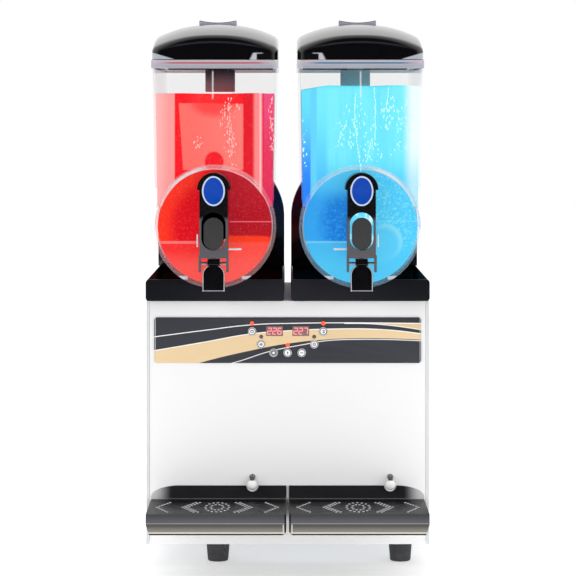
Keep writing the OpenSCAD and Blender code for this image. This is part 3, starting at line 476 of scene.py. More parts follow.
def control_overlay():
    """Charcoal film with a sand-coloured sweep and thin white lines."""
    f = PanelFinish("control_overlay")
    end = 198.5
    level, split_from = 25, 84
    upper_line = f.sweep([(-end, 5), (-125, 14.5), (-52.5, 23), (0, level), (end, level)])
    split_line = f.sweep([(-end, level), (85, level), (130, 24), (end, 15.5)])
    sand_top = f.sweep(
        [(-end, -15.5), (-125, -3), (-52.5, 9.7), (0, 14), (54, 16.4), (130, 16.4), (end, 9.7)])
    sand_foot = f.sweep(
        [(-end, -55), (-130, -33.4), (-52.5, -14.8), (0, -5), (54, 0.8), (108, 3), (end, 0.8)])
    low_line = f.sweep(
        [(-end, -60), (-80, -33.4), (-22, -15.4), (24, -6.4), (54, -1.1), (99, 1.2), (end, -0.8)])
    sand = (f.up - sand_top).under(0, 0.2) * (f.up - sand_foot).above(0, 0.2)
    beyond = f.across.above(split_from, 0.5)
    sliver = (f.up - split_line).above(0, 0.2) * (f.up - level).under(0, 0.2) * beyond
    split = f.line(split_line, 1.1) * beyond
    lines = f.line(upper_line, 1.3).over(f.line(sand_top, 1.3)).over(f.line(low_line, 1.1)).over(split)
    border = (f.across.size() - (f.half_width - 1.6)).size().under(0.45, 0.2)
    grain = f.noise(700, 3)
    return f.surface(
        Base_Color=f.paint(
            f.blend(grain, shade(50, 51, 57), shade(60, 61, 67)),
            (sand, f.blend(grain, shade(226, 197, 152), shade(236, 209, 168))),
            (sliver, shade(226, 197, 152)),
            (lines, shade(250, 250, 250)),
            (border, shade(190, 192, 196))),
        Roughness=0.38 + grain * 0.14, Normal=f.bump(grain, 0.08, 0.0001))


BUTTON_MIDS = {i: middle("button_%d" % i) for i in range(1, 8)}


def button_face(i):
    """A push button: a white cap with a dark ring and a small plain sign."""
    f = PanelFinish("button_face_%d" % i)
    x = f.across - BUTTON_MIDS[i].x / MM
    z = f.up - (BUTTON_MIDS[i].z - PANEL_MID.z) / MM
    radius = (x * x + z * z).root()
    ring = (radius - 4.9).size().under(0.55, 0.12)
    bar = x.size().under(0.5, 0.1) * z.size().under(2.2, 0.1)
    cross_bar = z.size().under(0.5, 0.1) * x.size().under(2.2, 0.1)
    hoop = (radius - 2.1).size().under(0.5, 0.1)
    signs = {
        1: hoop + bar * z.above(0, 0.1),
        2: bar + cross_bar + hoop * 0.6,
        3: radius.under(3.9, 0.1) * radius.above(1.9, 0.1),
        4: bar + radius.under(1.2, 0.1),
        5: z.size().under(0.6, 0.1) * x.size().under(2.4, 0.1),
        6: hoop + radius.under(0.8, 0.1),
        7: hoop * x.above(-1.2, 0.1) + bar,
    }
    wear = f.noise(900, 3)
    return f.surface(
        Base_Color=f.paint(
            f.blend(wear, shade(236, 236, 238), shade(252, 252, 252)),
            (signs[i], shade(92, 94, 100)),
            (ring, shade(70, 71, 78))),
        Roughness=0.32 + wear * 0.1, Normal=f.bump(wear, 0.08, 0.0001))


def badge_blue():
    """Plain blue badge, a little mottled, with a pale rim where it stands proud."""
    f = Finish("badge_blue")
    x, y, z = f.axes()
    cloud = f.noise(160, 3)
    rim = y.under(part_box("tap_badge_left")[0].y + 0.0005, 0.0001)
    return f.surface(
        Base_Color=f.paint(
            f.blend(cloud, shade(4, 58, 160), shade(10, 74, 180)),
            (rim, shade(196, 208, 232))),
        Roughness=0.3 + cloud * 0.15, Specular_IOR_Level=0.3,
        Normal=f.bump(f.noise(1400, 2), 0.06, 0.0001))


def tap_black(side):
    """Gloss black of the tap covers: the part beside the window is painted lighter grey as a painted
    reflection on its forward-leaning face, and it is duller.
    """
    f = BowlFinish("tap_black_" + side, side)
    scuffs_and_sheen = f.noise(200, 4, 0.7)
    # The lower part is painted lighter grey: a painted reflection of the light on the cover's forward-leaning
    # lower face.
    low = f.up.under(14, 4)
    return f.surface(
        Base_Color=f.blend(low, shade(14, 14, 16), f.blend(scuffs_and_sheen, shade(78, 78, 82), shade(92, 92, 96))),
        Roughness=0.22 + scuffs_and_sheen * 0.12 + low * 0.25,
        Normal=f.bump(f.noise(1800, 2), 0.06, 0.0002))


def lever_black(side):
    """Gloss black of the levers, with a painted highlight along the edge of the paddle."""
    f = BowlFinish("lever_black_" + side, side)
    half, height = 16.25, 40
    foot = (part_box("tap_lever_" + side)[0].z - AXIS_Z) / MM
    arch = foot + height - half
    rise = (f.up - arch).over(0.0)
    outline = (f.across * f.across + rise * rise).root()
    edge = (outline - (half - 0.9)).size().under(0.5, 0.2) * f.up.under(arch + 13, 1)
    toe = (f.up - (foot + 1.0)).size().under(0.4, 0.2)
    patchy = f.noise(60, 3)
    # Painted highlight along the paddle's edge and foot, broken into patches.
    edge_highlight = (edge + toe) * patchy.above(0.32, 0.1)
    return f.surface(
        Base_Color=f.blend(edge_highlight, shade(9, 9, 12), shade(196, 197, 204)),
        Roughness=0.16 + patchy * 0.12, Normal=f.bump(f.noise(1500, 2), 0.05, 0.0002))


def lamp_shell(side):
    """Smoked grey of a lamp housing, beaded with wet, with painted light and shade: dark above and pale
    below, and the right-hand housing paler all over.
    """
    f = BowlFinish("lamp_shell_" + side, side)
    beads = f.cells(420)
    # Painted light and shade: darker towards the top, and the right-hand housing paler than the left.
    height = f.ramp(f.up, 203, 238)
    top = shade(46, 42, 54) if side == "left" else shade(176, 192, 202)
    foot = shade(186, 186, 196) if side == "left" else shade(236, 240, 244)
    return f.surface(
        Base_Color=f.paint(
            f.blend(height, foot, top),
            (beads.under(0.28, 0.1) * 0.4, shade(140, 138, 150))),
        Roughness=0.3 + beads * 0.3, Normal=f.bump(beads, 0.2, 0.0006))


def base_black():
    """Satin black of the bowl bases, with painted light: paler at their inner ends, towards the middle of the
    machine, and deep black at their outer ends.
    """
    f = Finish("base_black")
    x, y, z = f.axes()
    cloud = f.noise(24, 4)
    dust = f.noise(320, 4, 0.7)
    # Painted light: paler towards the middle of the machine, deep black at the outer ends.
    pale_end = f.ramp(x.size() - BAY, -0.1, 0.1)
    return f.surface(
        Base_Color=f.blend(pale_end, f.blend(cloud, shade(30, 30, 35), shade(38, 37, 43)), shade(20, 22, 26)),
        Roughness=0.26 + dust * 0.12, Specular_IOR_Level=0.3,
        Normal=f.bump(f.noise(1500, 2), 0.08, 0.0002))


class TrayFinish(Finish):
    """A finish with places in millimetres: out from the machine's middle, and up from a tray's rim."""

    def __init__(self, name):
        super().__init__(name)
        x, y, z = self.axes()
        self.out = x.size() / MM
        self.depth = y / MM
        self.up = (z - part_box("drip_grid_left")[0].z) / MM
        self.front = (self.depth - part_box("drip_tray_left")[0].y / MM).under(0.6, 0.3)


def tray_black():
    """Black of the drip trays. Their front faces carry painted light: a grey painted reflection of the floor,
    paler lower down, painted highlight lines, and painted shade at the inner ends and under the foot; the
    outer ends of the upstands fade to pale as painted light.
    """
    f = TrayFinish("tray_black")
    dust = f.noise(320, 4, 0.7)
    cloud = f.noise(24, 4)
    # Painted reflection of the floor on the front faces, paler lower down.
    lower = f.ramp(f.up, -1.5, -13.5)
    # Painted highlight line along the foot, painted shade under it.
    foot_highlight = (f.up + 13.8).size().under(0.7, 0.5)
    shaded_foot = f.up.under(-15.2, 0.5)
    # Painted highlight line near the inner end, painted shade at the inner end itself.
    inner_highlight = (f.out - 6.2).size().under(0.8, 0.5) * f.up.under(-2, 1)
    shaded_inner_end = f.out.under(4.2, 0.4)
    upstand = f.up.above(12.5, 0.4)
    # The upstands' outer ends fade to pale: painted light.
    painted_pale_fade = f.ramp(f.out, 172, 199) * upstand
    # Painted highlight along the upstand's root.
    root_highlight = (f.up - 13.8).size().under(0.6, 0.4)
    return f.surface(
        Base_Color=f.paint(
            f.blend(cloud, shade(26, 26, 29), shade(34, 34, 37)),
            (f.front, f.blend(lower, shade(72, 70, 68), shade(126, 122, 114))),
            # Painted highlight band along the top of the front face.
            (f.front * f.up.above(-1.2, 0.3), shade(134, 134, 136)),
            (f.front * foot_highlight, shade(214, 211, 202)),
            (f.front * inner_highlight, shade(190, 188, 182)),
            (f.front * shaded_inner_end, shade(22, 22, 24)),
            (f.front * shaded_foot, shade(20, 20, 22)),
            (root_highlight, shade(92, 92, 95)),
            (painted_pale_fade, shade(186, 186, 188))),
        Roughness=0.36 + dust * 0.14, Specular_IOR_Level=0.12,
        Normal=f.bump(f.noise(1500, 2), 0.08, 0.0002))


def grid_black():
    """Black of the drip grids: deep on top, with painted light on the front band, which is grey and darker
    towards its top, and painted shade at its inner end.
    """
    f = TrayFinish("grid_black")
    dust = f.noise(300, 4, 0.7)
    return f.surface(
        Base_Color=f.paint(
            f.blend(dust, shade(8, 8, 10), shade(16, 16, 18)),
            (f.front, f.blend(f.ramp(f.up, 0, 12), shade(84, 84, 88), shade(62, 62, 67))),
            (f.front * f.out.under(4.5, 0.5), shade(20, 20, 22))),
        Roughness=0.3 + dust * 0.14, Specular_IOR_Level=0.1,
        Normal=f.bump(f.noise(1500, 2), 0.08, 0.0002))


def spout_white():
    """White ball of a condensate spout, painted dark grey above the ball."""
    f = Finish("spout_white")
    x, y, z = f.axes()
    ball_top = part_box("drain_spouts")[0].z + 0.0142
    grain = f.noise(700, 3)
    return f.surface(
        Base_Color=f.paint(
            f.blend(grain, shade(238, 238, 236), shade(252, 252, 252)),
            (z.above(ball_top, 0.0003), f.blend(grain, shade(62, 62, 64), shade(92, 92, 94)))),
        Roughness=0.3 + grain * 0.1, Normal=f.bump(grain, 0.08, 0.0002))


def panel_steel():
    """Brushed steel of the cabinet's front, with painted shade: greyer towards its top and on the folded
    edges of the sides, darkest at the bends.
    """
    f = Finish("panel_steel")
    x, y, z = f.axes()
    scratches = f.noise(40, 5, 0.65, (1.5, 60, 60))
    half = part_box("right_side_panel")[1].x
    # Painted shade on the folded edges and at their bends.
    fold = x.size().above(half - 0.0049, 0.0002)
    corner = x.size().above(half - 0.0011, 0.0004)
    # Painted shade towards the top.
    top = f.ramp(z, DECK - 0.034, DECK - 0.004)
    return f.surface(
        Base_Color=f.paint(
            f.blend(scratches, shade(240, 240, 240), shade(248, 248, 249)),
            (top, shade(233, 233, 234)),
            (fold, shade(222, 223, 224)),
            (corner, shade(196, 198, 200))),
        Metallic=0.1, Roughness=0.46 + scratches * 0.1, Normal=f.bump(scratches, 0.06, 0.0002))


def glow(name, colour, strength):
    """A lit window or digit."""
    f = Finish(name)
    cell = f.noise(900, 2)
    lit = f.blend(cell, colour, tuple(min(1.0, c * 1.2 + 0.02) for c in colour))
    return f.surface(
        Base_Color=lit, Emission_Color=lit, Emission_Strength=strength, Roughness=0.3 + cell * 0.1)


def indicator_lens():
    """Three lit lenses and two dark ones."""
    f = PanelFinish("indicator_lens")
    dark = (f.across.size() - 39.4).size().under(5, 0.1)
    cell = f.noise(900, 2)
    lit = f.blend(cell, shade(255, 52, 24), shade(255, 96, 60))
    return f.surface(
        Base_Color=f.blend(dark, lit, shade(96, 92, 92)), Emission_Color=f.blend(dark, lit, (0, 0, 0)),
        Emission_Strength=1.2, Roughness=0.3 + cell * 0.1)


def circuit():
    f = Finish("circuit_board")
    tracks = f.cells(900, (1, 1, 1), "DISTANCE_TO_EDGE")
    return f.surface(
        Base_Color=f.blend(tracks.under(0.08, 0.02), shade(18, 70, 40), shade(60, 130, 80)),
        Roughness=0.4 + tracks * 0.2, Normal=f.bump(tracks, 0.1, 0.0002))


def fins():
    f = Finish("fin_aluminium")
    x, y, z = f.axes()
    rib = f.node(
        "ShaderNodeTexWave", {"bands_direction": "Z"}, {"Vector": f.place, "Scale": 120.0, "Distortion": 0.4})
    cloud = f.noise(60, 3)
    return f.surface(
        Base_Color=f.blend(cloud, shade(176, 178, 180), shade(206, 208, 210)), Metallic=0.9,
        Roughness=0.38 + cloud * 0.12, Normal=f.bump(rib, 0.25, 0.0005))


FINISHES = {
    "stainless": brushed("stainless", shade(250, 250, 251), 0.5, (1.5, 60, 60), 0.1),
    "zinc_steel": brushed("zinc_steel", shade(176, 180, 184), 0.42, (8, 8, 8), 0.8),
    "drum_steel": brushed("drum_steel", shade(206, 208, 210), 0.24, (60, 1.5, 60), 0.95),
    "screw_steel": brushed("screw_steel", shade(200, 201, 204), 0.24, (30, 30, 30), 0.95),
    "black_rubber": rubber("black_rubber", shade(52, 52, 54)),
    "grey_rubber": rubber("grey_rubber", shade(140, 142, 145)),
    "charcoal_overlay": control_overlay(),
    "display_window": glow("display_window", shade(120, 96, 100), 0.12),
    "circuit_board": circuit(),
    "white_plastic": moulded("white_plastic", shade(226, 226, 222), 0.34),
    "black_enamel": moulded("black_enamel", shade(36, 38, 41), 0.28, 700, 0.2, 0.4),
    "grey_enamel": moulded("grey_enamel", shade(98, 101, 106), 0.36, 700, 0.2, 0.2),
    "fin_aluminium": fins(),
    "black_plastic": moulded("black_plastic", shade(28, 29, 31), 0.4),
    "base_black": base_black(),
    "grid_black": grid_black(),
    "gloss_black": moulded("gloss_black", shade(8, 8, 10), 0.12, 2200, 0.03, 0.3),
    "badge_blue": badge_blue(),
    "tap_grey": moulded("tap_grey", shade(50, 50, 51), 0.5),
}
PANEL_STEEL = panel_steel()
TRAY_BLACK = tray_black()
SPECIAL = {
    "indicator_leds": indicator_lens(), "drain_spouts": spout_white(),
    "front_panel": PANEL_STEEL, "left_side_panel": PANEL_STEEL, "right_side_panel": PANEL_STEEL,
    "drip_tray_left": TRAY_BLACK, "drip_tray_right": TRAY_BLACK,
}
for side in SIDES:
    SPECIAL["tank_" + side] = tank_plastic(side)
    SPECIAL["tap_cover_" + side] = tap_black(side)
    SPECIAL["tap_lever_" + side] = lever_black(side)
    SPECIAL["lid_lamp_" + side] = lamp_shell(side)
for i in BUTTON_MIDS:
    SPECIAL["button_%d" % i] = button_face(i)
SLOT_OF = {part["node"]: part["material_slot"] for part in frame["record"]["subparts"]}
BODY_OF = {node: body for body, nodes in frame["record"]["behaviour"]["bodies"].items() for node in nodes}


def finish_of(node):
    """A node's own finish, or the finish of its material slot."""
    return SPECIAL[node] if node in SPECIAL else FINISHES[SLOT_OF[node]]


def dress(obj, material):
    obj.data.materials.clear()
    obj.data.materials.append(material)


for node, obj in frame["nodes"].items():
    dress(obj, finish_of(node))


# ---- Ways of making a piece ----

def take(obj):
    """Only this object is selected and active."""
    bpy.ops.object.select_all(action="DESELECT")
    obj.select_set(True)
    bpy.context.view_layer.objects.active = obj
    return obj


def settle(obj, name):
    """Puts the place, turn and scale of a new object into its mesh."""
    take(obj)
    obj.name = name
    obj.data.name = name
    bpy.ops.object.transform_apply(location=True, rotation=True, scale=True)
    return obj


def block(name, low, high):
    """A box from its lowest to its highest corner."""
    low, high = Vector(low), Vector(high)
    bpy.ops.mesh.primitive_cube_add(size=1, location=(low + high) / 2)
    obj = bpy.context.object
    obj.scale = high - low
    return settle(obj, name)


def rod(name, radius, start, end, sides=64):
    """A cylinder between two places."""
    start, end = Vector(start), Vector(end)
    along = end - start
    bpy.ops.mesh.primitive_cylinder_add(
        radius=radius, depth=along.length, vertices=sides, location=(start + end) / 2,
        rotation=along.to_track_quat("Z", "Y").to_euler())
    return settle(bpy.context.object, name)


def pick(obj, kind, test):
    """In edit mode, with only the vertices, edges or faces that pass the test selected."""
    take(obj)
    bpy.ops.object.mode_set(mode="EDIT")
    bpy.ops.mesh.select_mode(type=kind)
    bpy.ops.mesh.select_all(action="DESELECT")
    bpy.ops.object.mode_set(mode="OBJECT")
    mesh = obj.data
    items = {"VERT": mesh.vertices, "EDGE": mesh.edges, "FACE": mesh.polygons}[kind]
    for item in items:
        item.select = test(item)
    bpy.ops.object.mode_set(mode="EDIT")


def leave():
    bpy.ops.object.mode_set(mode="OBJECT")


def modify(obj, kind, **settings):
    """Adds a modifier, with its settings, and applies it."""
    take(obj)
    made = obj.modifiers.new(kind.lower(), kind)
    for key, value in settings.items():
        setattr(made, key, value)
    bpy.ops.object.modifier_apply(modifier=made.name)
    return obj


def smooth(obj, degrees=35):
    take(obj)
    bpy.ops.object.shade_smooth_by_angle(angle=math.radians(degrees))
    return obj


def tidy_normals(obj):
    pick(obj, "FACE", lambda face: True)
    bpy.ops.mesh.remove_doubles(threshold=0.00001)
    bpy.ops.mesh.normals_make_consistent(inside=False)
    leave()
    return obj


def rounded(obj, width, segments=2, degrees=30):
    """Edges sharper than the given angle are rounded."""
    return modify(
        obj, "BEVEL", width=width, segments=segments, limit_method="ANGLE", angle_limit=math.radians(degrees))


def join(name, objects):
    take(objects[0])
    for obj in objects:
        obj.select_set(True)
    bpy.ops.object.join()
    joined = bpy.context.object
    joined.name = name
    joined.data.name = name
    return joined


def copy_of(obj, name):
    """A copy with its own mesh and without the frame's marks."""
    twin = obj.copy()
    twin.data = obj.data.copy()
    for key in list(twin.keys()):
        if key.startswith("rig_"):
            del twin[key]
    twin.parent = None
    twin.name = name
    twin.data.name = name
    bpy.context.scene.collection.objects.link(twin)
    return twin


def place(obj, body, material, slot=None):
    """The finished piece takes its material and rides on its body."""
    dress(obj, material)
    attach(obj, body)
    return obj


def softened(node, width, segments=2):
    """Stands for a CAD node with the same shape and its edges rounded."""
    obj = copy_of(frame["nodes"][node], node + "_soft")
    pick(obj, "FACE", lambda face: True)
    bpy.ops.mesh.remove_doubles(threshold=0.000005)
    bpy.ops.mesh.dissolve_limited(angle_limit=math.radians(0.5))
    leave()
    rounded(obj, width, segments)
    smooth(obj, 40)
    place(obj, BODY_OF[node], finish_of(node), SLOT_OF[node])
    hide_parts(node)
    return obj


# ---- CAD parts with their edges rounded ----

EDGE_WIDTHS = {
    "feet": 0.0012, "top_deck": 0.0005, "control_panel": 0.0005, "power_switch": 0.0006,
    "cable_gland": 0.0006, "compressor": 0.002, "gear_motors": 0.0015, "drain_spouts": 0.0004,
}
PAIR_EDGE_WIDTHS = {
    "bowl_base": 0.0016, "rear_housing": 0.003, "tap_cover": 0.0012, "tap_badge": 0.0006,
    "tap_piston": 0.0008, "tap_lever": 0.0009, "drip_tray": 0.0012, "drip_grid": 0.0008, "lid_lamp": 0.0015,
}
BUTTON_EDGE = 0.0006
for node, width in EDGE_WIDTHS.items():
    softened(node, width)
for i in BUTTON_MIDS:
    softened("button_%d" % i, BUTTON_EDGE, 3)
for side in SIDES:
    for node, width in PAIR_EDGE_WIDTHS.items():
        softened("%s_%s" % (node, side), width)


# ---- Rims of the drip grids' holes ----

def grid_holes():
    """Places of the holes, in millimetres from the pattern's middle: chevrons and a double ring."""
    spots = []
    step_across, step_along, row_gap = 3.5, 9, 6
    for start, lean, rows in ((-88, 1, 1), (-50, 1, 2), (50, -1, 2), (88, -1, 1)):
        for row in range(rows):
            spots += [
                (start + lean * (abs(i) * step_across + row * row_gap), i * step_along) for i in range(-5, 6)]
    for across, along, count in ((17, 44, 16), (9, 26, 10)):
        turns = [2 * math.pi * i / count for i in range(count)]
        spots += [(across * math.cos(a), along * math.sin(a)) for a in turns]
    return spots


def make_eyelets(side):
    """A raised rim round each hole of the grid, pale grey as a painted highlight."""
    low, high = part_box("drip_grid_" + side)
    mid_x = (low.x + high.x) / 2
    mid_y = low.y + 0.062
    rise, stretch = 0.0003, 1.8
    rims = []
    for across, along in grid_holes():
        bpy.ops.mesh.primitive_torus_add(
            location=(mid_x + across * MM, mid_y + along * MM, high.z + rise),
            major_segments=12, minor_segments=6, major_radius=0.0015, minor_radius=0.0004)
        rims.append(settle(bpy.context.object, "rim"))
    rims = join("grid_eyelets_" + side, rims)
    for vertex in rims.data.vertices:
        vertex.co.z = high.z + (vertex.co.z - high.z) * stretch
    smooth(rims, 80)
    place(rims, "drip_grid_" + side, EYELET_HIGHLIGHT)


# Pale grey: a painted highlight on the rims round the grid's holes.
EYELET_HIGHLIGHT = moulded("eyelet", shade(176, 177, 180), 0.2, 900, 0.02, 0.4)
for side in SIDES:
    make_eyelets(side)


# ---- Lids ----

LID_WALL = 0.0025
LID_GAP = 0.0004
HANDLE_HOLLOW = 0.12


def lid_black(side):
    """Gloss black of a lid, with painted reflections: pale wedges at its lower front corners and a dark patch
    at its inner corner, and a soft painted highlight arc above them.
    """
    f = BowlFinish("lid_black_" + side, side)
    foot = (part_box("lid_" + side)[0].z - AXIS_Z) / MM + 8
    outward = f.across if side == "right" else 0 - f.across
    fore = (f.depth / MM).under(-120, 8)
    height = f.up - foot
    # Painted reflections at the lower front corners.
    outer_wedge = (height - (outward - 58) * 0.3).under(0, 0.8) * height.above(0.6, 0.4)
    outer_wedge = outer_wedge * outward.above(60, 3)
    inner_wedge = f.between(outward + height * 0.5, -66, -52, 2) * height.under(10, 1)
    corner = (outward * -1).above(62, 1) * height.under(9, 1)
    arc = f.up + f.across * f.across * 0.0016
    glint = (arc - (foot + 26)).size().under(1.2, 1.2) * f.across.size().under(70, 20)
    smudge = f.noise(60, 4, 0.6)
    return f.surface(
        Base_Color=f.paint(
            f.blend(smudge, shade(6, 6, 8), shade(12, 12, 14)),
            (fore * glint * 0.5, shade(60, 62, 66)),
            (fore * outer_wedge, shade(176, 180, 190)),
            (fore * inner_wedge, shade(190, 194, 202)),
            (fore * corner, shade(14, 14, 16))),
        Roughness=0.1 + smudge * 0.08, Coat_Weight=0.3, Specular_IOR_Level=0.5,
        Normal=f.bump(f.noise(2200, 2), 0.03, 0.0002))


def raised_sheet(name, rule, x_steps, y_steps):
    """A grid whose points, each -1 to 1 across and along, go where the rule puts them."""
    bpy.ops.mesh.primitive_grid_add(x_subdivisions=x_steps, y_subdivisions=y_steps, size=2)
    sheet = settle(bpy.context.object, name)
    for vertex in sheet.data.vertices:
        vertex.co = rule(vertex.co.x, vertex.co.y)
    return sheet


def make_lid(side):
    """A sheet arched across and crowned along the tank, turned down at its edges, then given its wall."""
    low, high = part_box("lid_" + side)
    mid = (low + high) / 2
    half = (high.x - low.x) / 2
    reach = (high.y - low.y) / 2
    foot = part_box("tank_" + side)[1].z + LID_GAP
    side_height, arch, crown, corner, edge = 0.014, 0.021, 0.023, 0.016, 0.006
    crown_power, arch_power = 2.2, 2.4

    def rule(across, along):
        y = reach * math.sin(along * math.pi / 2)
        x = math.sin(across * math.pi / 2)
        inset = max(0.0, corner - (reach - abs(y)))
        width = half - corner + math.sqrt(max(0.0, corner ** 2 - inset ** 2))
        from_edge = min(edge, reach - abs(y), width * (1 - abs(x)))
        drop = edge - math.sqrt(edge ** 2 - (edge - from_edge) ** 2)
        rise = crown * (1 - abs(y / reach) ** crown_power) + arch * (1 - abs(x) ** arch_power)
        return (mid.x + x * width, mid.y + y, foot + side_height + rise - drop)

    shell = raised_sheet("lid_shell_" + side, rule, 48, 56)
    pick(shell, "EDGE", lambda edge: True)
    bpy.ops.mesh.region_to_loop()
    bpy.ops.mesh.extrude_edges_move()
    leave()
    for vertex in shell.data.vertices:
        if vertex.select:
            vertex.co.z = foot
    modify(shell, "SOLIDIFY", thickness=LID_WALL, offset=-1)
    tidy_normals(shell)
    smooth(shell, 50)
    place(shell, "lid_" + side, lid_black(side), "gloss_black")
    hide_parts("lid_" + side)
    make_lid_inside(side, low, high, foot)
    make_handle(side, mid, high.z)


def make_lid_inside(side, low, high, foot):
    """The collar that locates the lid in the tank, and the stem that carries the lamp."""
    lamp_low, lamp_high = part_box("lid_lamp_" + side)
    lamp = (lamp_low + lamp_high) / 2
    side_gap, front_gap, back_gap, collar_wall = 0.0062, 0.0068, 0.0058, 0.003
    collar = block(
        "lid_collar_" + side, (low.x + side_gap, low.y + front_gap, low.z),
        (high.x - side_gap, high.y - back_gap, foot + 0.002))
    pick(collar, "FACE", lambda face: abs(face.normal.z) > 0.9)
    bpy.ops.mesh.inset(thickness=collar_wall, depth=0)
    bpy.ops.mesh.bridge_edge_loops()
    leave()
    rounded(collar, 0.0006)
    smooth(collar)
    place(collar, "lid_" + side, FINISHES["gloss_black"], "gloss_black")
    stem_r, stem_top = 0.008, foot + 0.045
    stem = rod(
        "lamp_stem_" + side, stem_r, (lamp.x, lamp.y, lamp_high.z - 0.001), (lamp.x, lamp.y, stem_top), 32)
    rounded(stem, 0.0008)
    smooth(stem)
    place(stem, "lid_" + side, FINISHES["grey_rubber"], "grey_rubber")


def handle_finish():
    """Pale grey handle with a dark line along its hollowed top."""
    f = Finish("handle_grey")
    x, y, z = f.axes()
    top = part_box("lid_left")[1].z
    sag, hollow_across = 0.004, 2 * HANDLE_HOLLOW
    arc = (x.size() - BAY) * (x.size() - BAY) / hollow_across
    line = (z - (top - sag) - arc).above(-0.0012, 0.0004)
    cloud = f.noise(90, 3)
    return f.surface(
        Base_Color=f.paint(
            f.blend(cloud, shade(176, 180, 192), shade(206, 209, 219)),
            (line, shade(84, 86, 96))),
        Roughness=0.24 + cloud * 0.1, Normal=f.bump(f.noise(1200, 2), 0.06, 0.0002))


HANDLE_FINISH = handle_finish()


def make_handle(side, mid, top):
    """A short bar across the crown, hollowed along its top."""
    half_w, half_d, depth, hollow, deepest, cuts = 0.029, 0.013, 0.014, HANDLE_HOLLOW, 0.004, 16
    bar = block("lid_handle_" + side, (mid.x - half_w, mid.y - half_d, top - depth),
                (mid.x + half_w, mid.y + half_d, top))
    rounded(bar, 0.002, 3, 60)
    for step in range(1, cuts):
        place_x = mid.x - half_w + 2 * half_w * step / cuts
        pick(bar, "VERT", lambda vertex: True)
        bpy.ops.mesh.bisect(plane_co=(place_x, 0, 0), plane_no=(1, 0, 0))
        leave()
    for vertex in bar.data.vertices:
        if vertex.co.z > top - 0.003:
            sag = deepest - (hollow - math.sqrt(hollow ** 2 - (vertex.co.x - mid.x) ** 2))
            vertex.co.z -= max(0.0, sag)
    smooth(bar, 50)
    place(bar, "lid_" + side, HANDLE_FINISH, "gloss_black")


for side in SIDES:
    make_lid(side)


# ---- Drink in the tanks ----

DRINK = {
    "left": {"level": 0.7002, "box": red_drink(), "drum": red_drum()},
    "right": {"level": 0.7118, "box": blue_drink(), "drum": blue_drum()},
}
DRUM_R = 0.0846


def make_drink(side):
    """Drink in the box of the tank, with an uneven surface, and in the drum round the evaporator."""
    mid_x = SIDES[side] * BAY
    front = TANK_FACE + 0.0046
    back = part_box("tank_" + side)[1].y - 0.0056
    level = DRINK[side]["level"]
    half, foot, flare_from = 0.0855, AXIS_Z + 0.030, AXIS_Z + 0.054
    flare, dip = 0.022, 0.0055 if side == "right" else 0.0
    mix = block("drink_" + side, (mid_x - half, front, foot), (mid_x + half, back, level))
    pick(mix, "EDGE", lambda edge: True)
    bpy.ops.mesh.subdivide(number_cuts=24)
    leave()
    rough = random.Random(7)
    ripples = [(rough.uniform(60, 160), rough.uniform(30, 90), rough.uniform(0, 6)) for i in range(5)]
    for vertex in mix.data.vertices:
        share = (vertex.co.z - flare_from) / (level - flare_from)
        if share > 0:
            vertex.co.x = mid_x + (vertex.co.x - mid_x) * (1 + flare * share)
        if vertex.co.z > level - 0.0005:
            x, y = vertex.co.x - mid_x, vertex.co.y
            vertex.co.z += sum(0.0003 * math.sin(a * x + b * y + c) for a, b, c in ripples)
            vertex.co.z -= dip * max(0.0, (-x - 0.05) / 0.035)
    smooth(mix, 50)
    place(mix, "tank_" + side, DRINK[side]["box"])
    ends = (mid_x, front - 0.0004, AXIS_Z), (mid_x, back + 0.002, AXIS_Z)
    core = rod("drum_drink_" + side, DRUM_R, *ends, 96)
    rounded(core, 0.0015, 2)
    smooth(core)
    place(core, "tank_" + side, DRINK[side]["drum"])


for side in SIDES:
    make_drink(side)


# ---- Small pieces of the taps that carry painted light ----

def drink_glow_finish(name, deep, pale):
    """A plate painted with the drink as seen through the clear barrel, with paler swirls of the drink behind
    it; it glows as painted light.
    """
    f = Finish(name)
    swirl = f.noise(120, 3, 0.6, (1, 1, 0.4))
    colour = f.blend(swirl.above(0.55, 0.08), deep, pale)
    return f.surface(
        Base_Color=colour, Emission_Color=colour, Emission_Strength=0.45, Roughness=0.12 + swirl * 0.1)


# Painted light: the drink seen through each clear barrel, as a glowing plate.
BARREL_GLOWS = {
    "left": drink_glow_finish("barrel_red", shade(206, 34, 40), shade(255, 190, 186)),
    "right": drink_glow_finish("barrel_blue", shade(90, 206, 240), shade(206, 248, 255)),
}
# White strips: painted highlights on the edges of the clear valve block.
VALVE_EDGE_HIGHLIGHT = moulded("valve_edge_highlight", shade(248, 250, 252), 0.08, 900, 0.02, 0.5)


